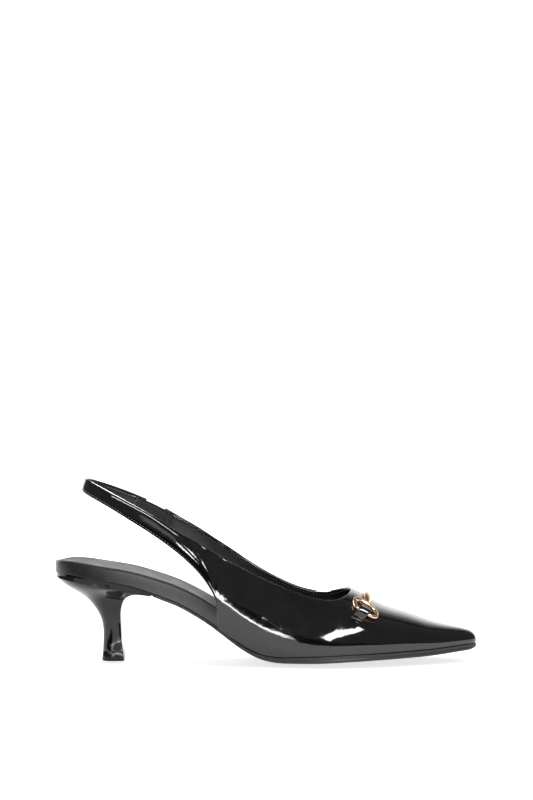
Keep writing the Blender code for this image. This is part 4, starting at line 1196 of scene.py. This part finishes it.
def elastic():
    """The ribbed elastic on the strap's medial side, and its threads between the ribs."""
    curve, lead = sling_curve((MEDIAL,))
    last = len(curve.knots) - 1
    front = sling_place(curve, ELASTIC_FRONT * LAST_LENGTH + ELASTIC_TUCK, lead + 1, last)
    back = sling_place(curve, ELASTIC_BACK * LAST_LENGTH - ELASTIC_TUCK, lead + 1, last)
    length = abs(back - front)

    def section(gone):
        """The strap's lower edge there, the ways up to its upper edge and out, and how much the
        end's seam stands in for the elastic."""
        place = front + (back - front) * gone / length
        lower, upper_edge = curve(place).reshape(4, 3)[[0, 3]]
        ahead = curve(place + ELASTIC_STEP)[:3] - curve(place - ELASTIC_STEP)[:3]
        out = unit(np.cross(upper_edge - lower, ahead))
        bound = 1 - smooth_step((min(gone, length - gone) - ELASTIC_TUCK) / ELASTIC_FADE)
        return lower, upper_edge - lower, out * math.copysign(1, out[1]), bound

    count, sides = fine(300), 20
    turns = 2 * math.pi * np.arange(sides) / sides
    wide, deep = (
        np.copysign(abs(wave) ** power, wave)
        for wave, power in zip((np.cos(turns), np.sin(turns)), ELASTIC_SQUARE)
    )
    rings = []
    for gone in length * np.arange(count + 1) / count:
        lower, up, out, bound = section(gone)
        half = ELASTIC_THICKNESS * (1 + ELASTIC_SEAM * bound) / 2
        thick = half + math.cos(2 * math.pi * gone / RIB_PITCH) * RIB_HEIGHT
        middle = lower + up / 2 - out * (UPPER_WALL + FIT_GAP + half)
        across = up / 2 * (ELASTIC_WIDTH + ELASTIC_FLARE * bound)
        rings.append(middle + np.outer(wide, across) + np.outer(deep, out * thick))
    mesh = loft_mesh("elastic_ribbed", rings)
    add_piece("elastic_ribbed", mesh, ["elastic_fabric_ribbed"], "elastic_fabric", "elastic_gore")
    columns = []
    for gone in np.arange(RIB_PITCH, length, RIB_PITCH):
        lower, up, out, bound = section(gone)
        depth = UPPER_WALL + FIT_GAP + ELASTIC_THICKNESS * (1 + ELASTIC_SEAM * bound) + RIB_HEIGHT
        line = np.array([lower + up * share - out * depth for share in ELASTIC_THREADS])
        columns.append((line, np.tile(-out, (4, 1)), 1.0))
    stitch_row("elastic_threads", columns, "elastic_fabric", *ELASTIC_THREAD)


# Trim


def trim_rings(side):
    centre, ahead, down, out = ring_frame(side)
    turns, sides = fine(110), fine(22)
    long_half, wide_half = (RING_LENGTH - RING_WIRE) / 2, (RING_WIDTH - RING_WIRE) / 2

    def path(turn):
        c, s = math.cos(turn), math.sin(turn)
        far = long_half * math.copysign(abs(c) ** RING_POWER, c)
        wide = wide_half * math.copysign(abs(s) ** RING_POWER, s)
        return centre + far * ahead + wide * down

    loop = np.array([path(2 * math.pi * (k + 0.5) / 720) for k in range(721)])
    gone = gone_along(loop)
    rings = []
    for k in range(turns):
        at = gone[-1] * k / turns
        here = point_at(at, gone, loop)
        tangent = unit(point_at((at + RING_STEP) % gone[-1], gone, loop) - here)
        upper_side = -np.dot(here - centre, down) / wide_half
        heavy = smooth_step((upper_side - HEAVY_FROM) / (1 - HEAVY_FROM))
        radius = RING_WIRE / 2 * (1 + RING_HEAVY * heavy)
        lifted = here + out * (radius - RING_WIRE / 2)
        rings.append(round_section(lifted, np.cross(tangent, out) * radius, out * radius, sides))
    name = f"ring_polished_{WORDS[side]}"
    mesh = loft_mesh(name, rings, closed=True)
    add_piece(name, mesh, ["trim_metal_polished"], "trim_metal", f"trim_ring_{WORDS[side]}")


def trim_bar():
    reach = RING_REACH - (RING_WIDTH + RING_HEAVY * RING_WIRE) / 2 - 2 * FIT_GAP
    thickness = np.array(BAR).T
    steps, sides = fine(70), fine(28)
    half = np.linspace(BAR_START, 1, steps)
    rings = []
    for share in (*-np.linspace(1, BAR_START, steps), *half):
        size = float(np.interp(abs(share), *thickness))
        side = LATERAL if share < 0 else MEDIAL
        place, ahead, _, out = on_vamp(TRIM_PLACE * LAST_LENGTH, abs(share) * reach, side)
        wide, high = BAR_WIDTH / 2 * size * ahead, BAR_HEIGHT / 2 * size * out
        rings.append(round_section(place + high + out * FIT_GAP, wide, high, sides))
    mesh = loft_mesh("bar_polished", rings)
    add_piece("bar_polished", mesh, ["trim_metal_polished"], "trim_metal", "trim_bar")


def trim_tab(side):
    """The leather tab round the ring's lower side, with two rows of stitches at its end."""
    centre, _, down, _ = ring_frame(side)
    wire = centre + down * (RING_WIDTH - RING_WIRE) / 2
    wire_at = RING_REACH + (RING_WIDTH - RING_WIRE) / 2
    tab_x = TRIM_PLACE * LAST_LENGTH - RING_BACK - TAB_BACK
    under, _, _, out = on_vamp(tab_x, wire_at, side)
    wire_height = float(np.dot(wire - under, out))
    loop = RING_WIRE / 2 + 3.5 * FIT_GAP + TAB_THICKNESS / 2
    rest = FIT_GAP + TAB_THICKNESS / 2
    path = [(TAB_LENGTH * share, rest + rise) for share, rise in TAB_FLAT]
    path.append((loop * TAB_TURN, wire_height + FIT_GAP * 2 / 3))
    for angle in map(math.radians, TAB_LOOP_DEGREES):
        path.append((loop * math.cos(angle), wire_height + loop * math.sin(angle)))
    curve = along_points([*path, (-loop, rest)])

    def on_tab(far, share):
        """The vamp's point below the tab, and its way out."""
        x = tab_x + share * TAB_WIDTH / 2 - TAB_SLANT * far
        place, _, _, out = on_vamp(x, wire_at + far, side)
        return place, out

    count, wide_steps, round_steps = fine(44), fine(10), 4
    section = [(share, 1.0) for share in np.linspace(-1, 1, wide_steps + 1)]
    for turn in (math.pi * k / round_steps for k in range(1, round_steps)):
        section.append((1 + TAB_EDGE * math.sin(turn), math.cos(turn)))
    section += [(-share, -thick) for share, thick in section]
    rings = []
    for at in curve.knots[-1] * np.arange(count + 1) / count:
        slope = unit(curve(at + TAB_STEP) - curve(at - TAB_STEP))
        across = np.array([-slope[1], slope[0]]) * TAB_THICKNESS / 2
        ring = []
        for share, thick in section:
            far, high = curve(at) + across * thick
            place, out = on_tab(far, share * TAB_NARROW)
            ring.append(place + out * max(high, FIT_GAP))
        rings.append(ring)
    name = f"tab_{WORDS[side]}"
    mesh = loft_mesh(name, rings)
    add_piece(name, mesh, ["patent_leather_gloss"], "patent_leather", f"trim_tab_{WORDS[side]}")
    seams = []
    for seam in TAB_SEAMS:
        shares = np.linspace(-TAB_SEAM_WIDTH, TAB_SEAM_WIDTH, 12)
        under = [on_tab(TAB_LENGTH * seam, share) for share in shares]
        line = np.array([place + out * (rest + TAB_THICKNESS / 2) for place, out in under])
        seams.append((line, np.array([out for _, out in under]), 1.0))
    name = f"tab_stitches_{WORDS[side]}"
    stitch_row(name, seams, "patent_leather", *TAB_THREAD)


# Materials


def new_material(name):
    """A new material, with its nodes and its Principled shader."""
    made = bpy.data.materials.new(name)
    made.use_nodes = True
    return made, made.node_tree, made.node_tree.nodes["Principled BSDF"]


def set_inputs(shader, values):
    for key, value in values.items():
        shader.inputs[key].default_value = value


def node(tree, kind, source, socket, **values):
    """A new node of this kind, with one input linked and others set."""
    made = tree.nodes.new(kind)
    set_inputs(made, {key.replace("_", " "): value for key, value in values.items()})
    tree.links.new(source, made.inputs[socket])
    return made


def noise(tree, scale, detail):
    """Noise in the object's own space. Scale is in waves for each metre."""
    place = tree.nodes.new("ShaderNodeTexCoord").outputs["Object"]
    made = node(tree, "ShaderNodeTexNoise", place, "Vector", Scale=scale, Detail=detail)
    return made.outputs["Fac"]


def cells(tree, scale):
    """Leather grain or weave, as rounded cells. Scale is in cells for each metre."""
    place = tree.nodes.new("ShaderNodeTexCoord").outputs["Object"]
    made = node(tree, "ShaderNodeTexVoronoi", place, "Vector", Scale=scale)
    made.feature = "SMOOTH_F1"
    return made.outputs["Distance"]


def ramp(tree, fac, low, high, start, end):
    """A colour between two, by a value."""
    made = node(tree, "ShaderNodeValToRGB", fac, "Fac")
    first, second = made.color_ramp.elements
    first.position, second.position = start, end
    first.color, second.color = (*low, 1.0), (*high, 1.0)
    return made.outputs["Color"]


def mapped(tree, fac, from_low, from_high, low, high):
    """A value taken from one range to another."""
    made = node(tree, "ShaderNodeMapRange", fac, "Value", From_Min=from_low, From_Max=from_high)
    set_inputs(made, {"To Min": low, "To Max": high})
    return made.outputs["Result"]


# One row for each material: the pattern of its tone with the dark and the light colour, and the
# part of the pattern's range where it differs from PATTERN_SPREAD; its roughness as one value or
# as a noise with its low and high end; its bumps as patterns and depths in metres; other inputs
PATENT_TONE = ((noise, 90, 3), (0.0045, 0.0040, 0.0042), (0.0080, 0.0070, 0.0072))
PATENT_ROUGH = (160, 4, 0.035, 0.10)
PATENT_BUMPS = (((noise, 45, 1), 0.00028), ((noise, 240, 2), 0.00005))
MATERIALS = {
    "patent_leather_gloss": (
        PATENT_TONE, PATENT_ROUGH, PATENT_BUMPS,
        {"IOR": 1.54, "Coat Weight": 0.3, "Coat Roughness": 0.03},
    ),
    "heel_leather_gloss": (
        PATENT_TONE, PATENT_ROUGH, PATENT_BUMPS,
        {"IOR": 1.46, "Coat Weight": 0.1, "Coat Roughness": 0.03},
    ),
    # Painted shade: the heel's lip lies in the shade of the waist, so it gets a flat dark grey with
    # hardly any reflection in place of the patent leather
    "lip_painted_shade": (
        None, 0.6, (), {"Base Color": (0.042, 0.042, 0.044, 1.0), "Specular IOR Level": 0.05},
    ),
    "lining_leather": (
        ((noise, 300, 4), (0.013, 0.013, 0.014), (0.024, 0.024, 0.025)), 0.55,
        (((cells, 1400), 0.00008), ((noise, 200, 3), 0.0002)), {},
    ),
    "sock_leather_matte": (
        ((noise, 240, 5), (0.048, 0.048, 0.050), (0.082, 0.082, 0.086)), (120, 3, 0.42, 0.58),
        (((cells, 1400), 0.00005), ((noise, 60, 2), 0.00008)), {},
    ),
    "rand_leather_semi_gloss": (
        ((noise, 260, 4), (0.013, 0.013, 0.014), (0.020, 0.020, 0.021)), (180, 3, 0.34, 0.42),
        (((cells, 1500), 0.000015),), {},
    ),
    "sole_rubber_satin": (
        ((noise, 500, 5), (0.012, 0.012, 0.013), (0.023, 0.023, 0.024)), (260, 3, 0.36, 0.52),
        (((noise, 1800, 3), 0.00006),), {},
    ),
    "heel_tip_rubber": (
        ((noise, 500, 5), (0.006, 0.006, 0.007), (0.012, 0.012, 0.013)), (260, 3, 0.16, 0.26),
        (((noise, 1500, 3), 0.00004),), {"Specular IOR Level": 0.3},
    ),
    # A pale rose gold with fine hairlines
    "trim_metal_polished": (
        ((noise, 400, 3), (0.90, 0.60, 0.38), (0.96, 0.68, 0.46)), (900, 4, 0.16, 0.26),
        (((noise, 700, 2), 0.00002),), {"Metallic": 1.0},
    ),
    # Painted shade and painted highlight: the tone follows the same cells as the bumps, darker in
    # their hollows and lighter on the raised cells
    "elastic_fabric_ribbed": (
        ((cells, 2600), (0.004, 0.004, 0.005), (0.05, 0.05, 0.052), 0.25, 0.75), 0.8,
        (((cells, 2600), 0.00012),), {"Sheen Weight": 0.25, "Sheen Roughness": 0.4},
    ),
    # Black thread drawn light grey: its own dark tone with painted highlight for the gloss of the
    # puckered leather along the seams
    "thread_grey_painted_highlight": (
        ((noise, 3000, 2), (0.10, 0.10, 0.105), (0.26, 0.26, 0.27)), 0.45,
        (((noise, 4000, 2), 0.00008),), {},
    ),
}
PATTERN_SPREAD = (0.3, 0.7)  # the part of a pattern's range that a tone or a roughness follows


@functools.lru_cache
def material(name):
    """The material of this name, made once, so that its pieces share it."""
    tone, rough, bumps, others = MATERIALS[name]
    made, tree, shader = new_material(name)

    def drawn(kind, *values):
        return kind(tree, *values)

    if tone:
        pattern, dark, light, *spread = tone
        colour = ramp(tree, drawn(*pattern), dark, light, *(spread or PATTERN_SPREAD))
        tree.links.new(colour, shader.inputs["Base Color"])
    if isinstance(rough, tuple):
        scale, detail, low, high = rough
        value = mapped(tree, noise(tree, scale, detail), *PATTERN_SPREAD, low, high)
        tree.links.new(value, shader.inputs["Roughness"])
    else:
        set_inputs(shader, {"Roughness": rough})
    set_inputs(shader, others)
    below = None
    for pattern, depth in bumps:
        bump = node(tree, "ShaderNodeBump", drawn(*pattern), "Height", Distance=depth, Strength=1.0)
        if below:
            tree.links.new(below, bump.inputs["Normal"])
        below = bump.outputs["Normal"]
    if below:
        tree.links.new(below, shader.inputs["Normal"])
    return made


# Floor, light and camera

FLOOR_HALF = 1.6
FLOOR_BACK = 0.9  # from the shoe to where the floor turns up
COVE_RADIUS = 0.5
COVE_STEPS = 16
WALL_HEIGHT = 2.2
WALL_LIT = (0.66, 2.10)  # heights between which the wall's painted light goes from white to dark
WALL_LIGHT_AND_SHADE = ((0.9,) * 3, (0.01,) * 3)
WALL_HALF_SHADE = (0.42, (0.24, 0.24, 0.24, 1.0))  # share of that height, and the painted half shade there
FLOOR_GLOW = 0.80
WORLD_LIGHT = 0.16
WHITE, BLACK = (1.0, 1.0, 1.0, 1.0), (0.0, 0.0, 0.0, 1.0)
# The lying card's near edge, as x and y: the white table before it shows in the patent leather
CARD_EDGE = (
    (-1.6, -0.055),
    (-0.074, -0.055),
    (-0.072, -0.158),
    (-0.020, -0.155),
    (-0.004, -0.124),
    (0.030, -0.122),
    (0.080, -0.136),
    (1.6, -0.138),
)
CARD_HEIGHT, CARD_FAR = 0.001, -3.0
UPRIGHT_CARD = (-0.100, -0.034, 0.022, 0.030, 0.220)  # y, and the ranges of x and z

# Lights: place, target, width, height, watts
MIDDLE = (0.0, 0.0, 0.05)
SOFT_LIGHTS = {
    "soft light above": ((0.05, 0.25, 1.25), MIDDLE, 1.5, 0.9, 11),
    "wall light": ((0.0, 0.7, 1.3), (0.0, 1.4, 0.4), 2.4, 0.5, 12),
    "soft light in front": ((-0.3, -1.6, 0.9), MIDDLE, 1.2, 0.8, 5),
}
# Panels that only reflections show, with their roll in degrees and the pieces they are kept to, as
# a reflector held close to them is; no names stand for all
UPPER, HEEL_PIECE = ("upper_shell",), ("heel_covered",)
TRIM = ("ring_polished_lateral", "ring_polished_medial", "bar_polished")
VAMP_SPOT, EDGE_SPOT = (0.05, -0.04, 0.02), (-0.045, -0.03, 0.065)
PANELS = {
    "vamp strip": ((0.57, -1.7, 0.87), VAMP_SPOT, 2.2, 0.24, 36, 46, ()),
    "edge strip": ((-0.31, -0.85, 0.045), EDGE_SPOT, 0.04, 0.17, 0.45, 0, UPPER),
    "edge patch": ((-0.20, -0.85, 0.15), EDGE_SPOT, 0.05, 0.06, 0.2, 0, UPPER),
    "dim panel": ((-0.37, -0.89, 0.21), (-0.07, -0.03, 0.07), 0.11, 0.09, 0.035, 0, ()),
    "rim light": ((-0.20, -0.05, 1.0), (-0.05, -0.04, 0.1), 0.85, 0.8, 90, 0, UPPER),
    "heel panel": ((-0.25, -0.80, 0.29), (-0.1, 0.0, 0.05), 1.8, 0.58, 2.6, 0, HEEL_PIECE),
    "heel table": ((-0.1, -0.435, 0.004), (-0.1, -0.435, 1.0), 0.7, 0.69, 1.7, 0, HEEL_PIECE),
    "trim panel": ((0.1, -1.3, 0.75), (0.06, -0.02, 0.04), 1.6, 0.9, 4.0, 0, TRIM),
    "table strip": ((-0.065, -0.150, 0.003), (-0.065, -0.150, 1.0), 0.09, 0.014, 0.0882, 0, ()),
    "table end": ((-0.046, -0.172, 0.003), (-0.046, -0.172, 1.0), 0.015, 0.07, 0.0735, 0, ()),
    "strap strip": ((-0.54, -1.0, 0.62), (-0.08, -0.03, 0.095), 0.85, 0.06, 3.5, -8, ()),
}


def stage_plane(name, points, faces, paint):
    mesh = bpy.data.meshes.new(name)
    mesh.from_pydata(points, [], faces)
    mesh.shade_smooth()
    mesh.materials.append(paint)
    plane = bpy.data.objects.new(name, mesh)
    bpy.context.scene.collection.objects.link(plane)
    return plane


def strip_faces(rows):
    """The faces of a strip whose rows have two points each."""
    return [[2 * k, 2 * k + 1, 2 * k + 3, 2 * k + 2] for k in range(rows - 1)]


def floor_paint():
    """Painted light and shade: white up to the height that the camera sees, and dark above it;
    floor and wall glow with that tone.
    """
    paint, tree, shader = new_material("floor_pale")
    place = tree.nodes.new("ShaderNodeTexCoord").outputs["Object"]
    height = node(tree, "ShaderNodeSeparateXYZ", place, "Vector").outputs["Z"]
    tone = ramp(tree, mapped(tree, height, *WALL_LIT, 0, 1), *WALL_LIGHT_AND_SHADE, 0, 1)
    share, grey = WALL_HALF_SHADE
    tone.node.color_ramp.elements.new(share).color = grey
    for name in ("Base Color", "Emission Color"):
        tree.links.new(tone, shader.inputs[name])
    set_inputs(
        shader, {"Emission Strength": FLOOR_GLOW, "Roughness": 0.9, "Specular IOR Level": 0.1}
    )
    return paint


def floor():
    """A pale floor that turns up into a wall behind the shoe."""
    profile = [(-FLOOR_HALF, 0.0), (0.0, 0.0), (FLOOR_BACK, 0.0)]
    for k in range(1, COVE_STEPS + 1):
        turn = math.pi / 2 * k / COVE_STEPS
        back = FLOOR_BACK + COVE_RADIUS * math.sin(turn)
        profile.append((back, COVE_RADIUS * (1 - math.cos(turn))))
    profile.append((FLOOR_BACK + COVE_RADIUS, WALL_HEIGHT))
    points = [(x, y, z) for y, z in profile for x in (-FLOOR_HALF, FLOOR_HALF)]
    stage_plane("floor", points, strip_faces(len(profile)), floor_paint())


def black_cards():
    """Cards in front of the shoe that only reflections show, which paint shade into them: a black
    one, and one as dim as the world's light, so that its outline doesn't show."""
    paint, _, shader = new_material("card_black")
    set_inputs(shader, {"Base Color": BLACK, "Specular IOR Level": 0.0})
    points = [(x, end, CARD_HEIGHT) for x, y in CARD_EDGE for end in (y, CARD_FAR)]
    lying = stage_plane("card_lying", points, strip_faces(len(CARD_EDGE)), paint)
    lying.visible_shadow = False
    dim, _, shader = new_material("card_dim")
    values = {"Base Color": BLACK, "Emission Color": WHITE, "Emission Strength": WORLD_LIGHT}
    set_inputs(shader, values)
    y, left, right, low, high = UPRIGHT_CARD
    points = [(x, y, z) for x in (left, right) for z in (low, high)]
    upright = stage_plane("card_upright", points, strip_faces(2), dim)
    for card in (lying, upright):
        card.visible_camera = card.visible_diffuse = False


def area_light(name, place, target, width, height, watts, roll=0):
    lamp = bpy.data.lights.new(name, "AREA")
    lamp.shape = "RECTANGLE"
    lamp.size, lamp.size_y = width, height
    lamp.energy = watts
    holder = bpy.data.objects.new(name, lamp)
    way = Vector(target) - Vector(place)
    turn = way.to_track_quat("-Z", "Y").to_matrix() @ Matrix.Rotation(math.radians(roll), 3, "Z")
    holder.matrix_world = Matrix.Translation(place) @ turn.to_4x4()
    holder.visible_camera = False
    bpy.context.scene.collection.objects.link(holder)
    return holder


def lights():
    for name, row in SOFT_LIGHTS.items():
        area_light(name, *row).visible_glossy = False
    for name, (*row, pieces) in PANELS.items():
        panel = area_light(name, *row)
        panel.visible_diffuse = False
        if pieces:
            group = bpy.data.collections.new(name)
            for piece in pieces:
                group.objects.link(bpy.data.objects[piece])
            panel.light_linking.receiver_collection = group
    world = bpy.data.worlds.new("studio")
    world.use_nodes = True
    background = world.node_tree.nodes["Background"]
    set_inputs(background, {"Color": WHITE, "Strength": WORLD_LIGHT})
    bpy.context.scene.world = world
    bpy.context.scene.view_settings.view_transform = "Standard"


def camera():
    """The camera at the photo's angle, with the photo's frame."""
    azimuth, pitch, roll = map(math.radians, (CAMERA_AZIMUTH, CAMERA_PITCH, CAMERA_ROLL))
    level = Vector((math.cos(azimuth), math.sin(azimuth), 0.0))
    ahead = Vector((-math.sin(azimuth), math.cos(azimuth), 0.0))
    forward = ahead * math.cos(pitch) - Vector((0.0, 0.0, math.sin(pitch)))
    upright = level.cross(forward)
    right = level * math.cos(roll) - upright * math.sin(roll)
    up = level * math.sin(roll) + upright * math.cos(roll)
    across = (BALL_PIXEL[0] - PHOTO_WIDTH / 2) / FOCAL_PIXELS
    below = (BALL_PIXEL[1] - PHOTO_HEIGHT / 2) / FOCAL_PIXELS
    depth = PIXEL_SIZE * FOCAL_PIXELS
    place = Vector(np.array(BALL_PLACE) + SHIFT) - depth * (forward + right * across - up * below)
    lens = bpy.data.cameras.new("camera")
    lens.sensor_width = SENSOR
    lens.lens = SENSOR * FOCAL_PIXELS / PHOTO_HEIGHT
    holder = bpy.data.objects.new("camera", lens)
    turn = Matrix((right, up, -forward)).transposed()
    holder.matrix_world = Matrix.Translation(place) @ turn.to_4x4()
    bpy.context.scene.collection.objects.link(holder)
    bpy.context.scene.camera = holder


def main():
    upper()
    upper_stitches()
    footbed()
    sock()
    outsole()
    heel()
    elastic()
    trim_bar()
    for side in (LATERAL, MEDIAL):
        trim_rings(side)
        trim_tab(side)
    floor()
    black_cards()
    lights()
    camera()


main()
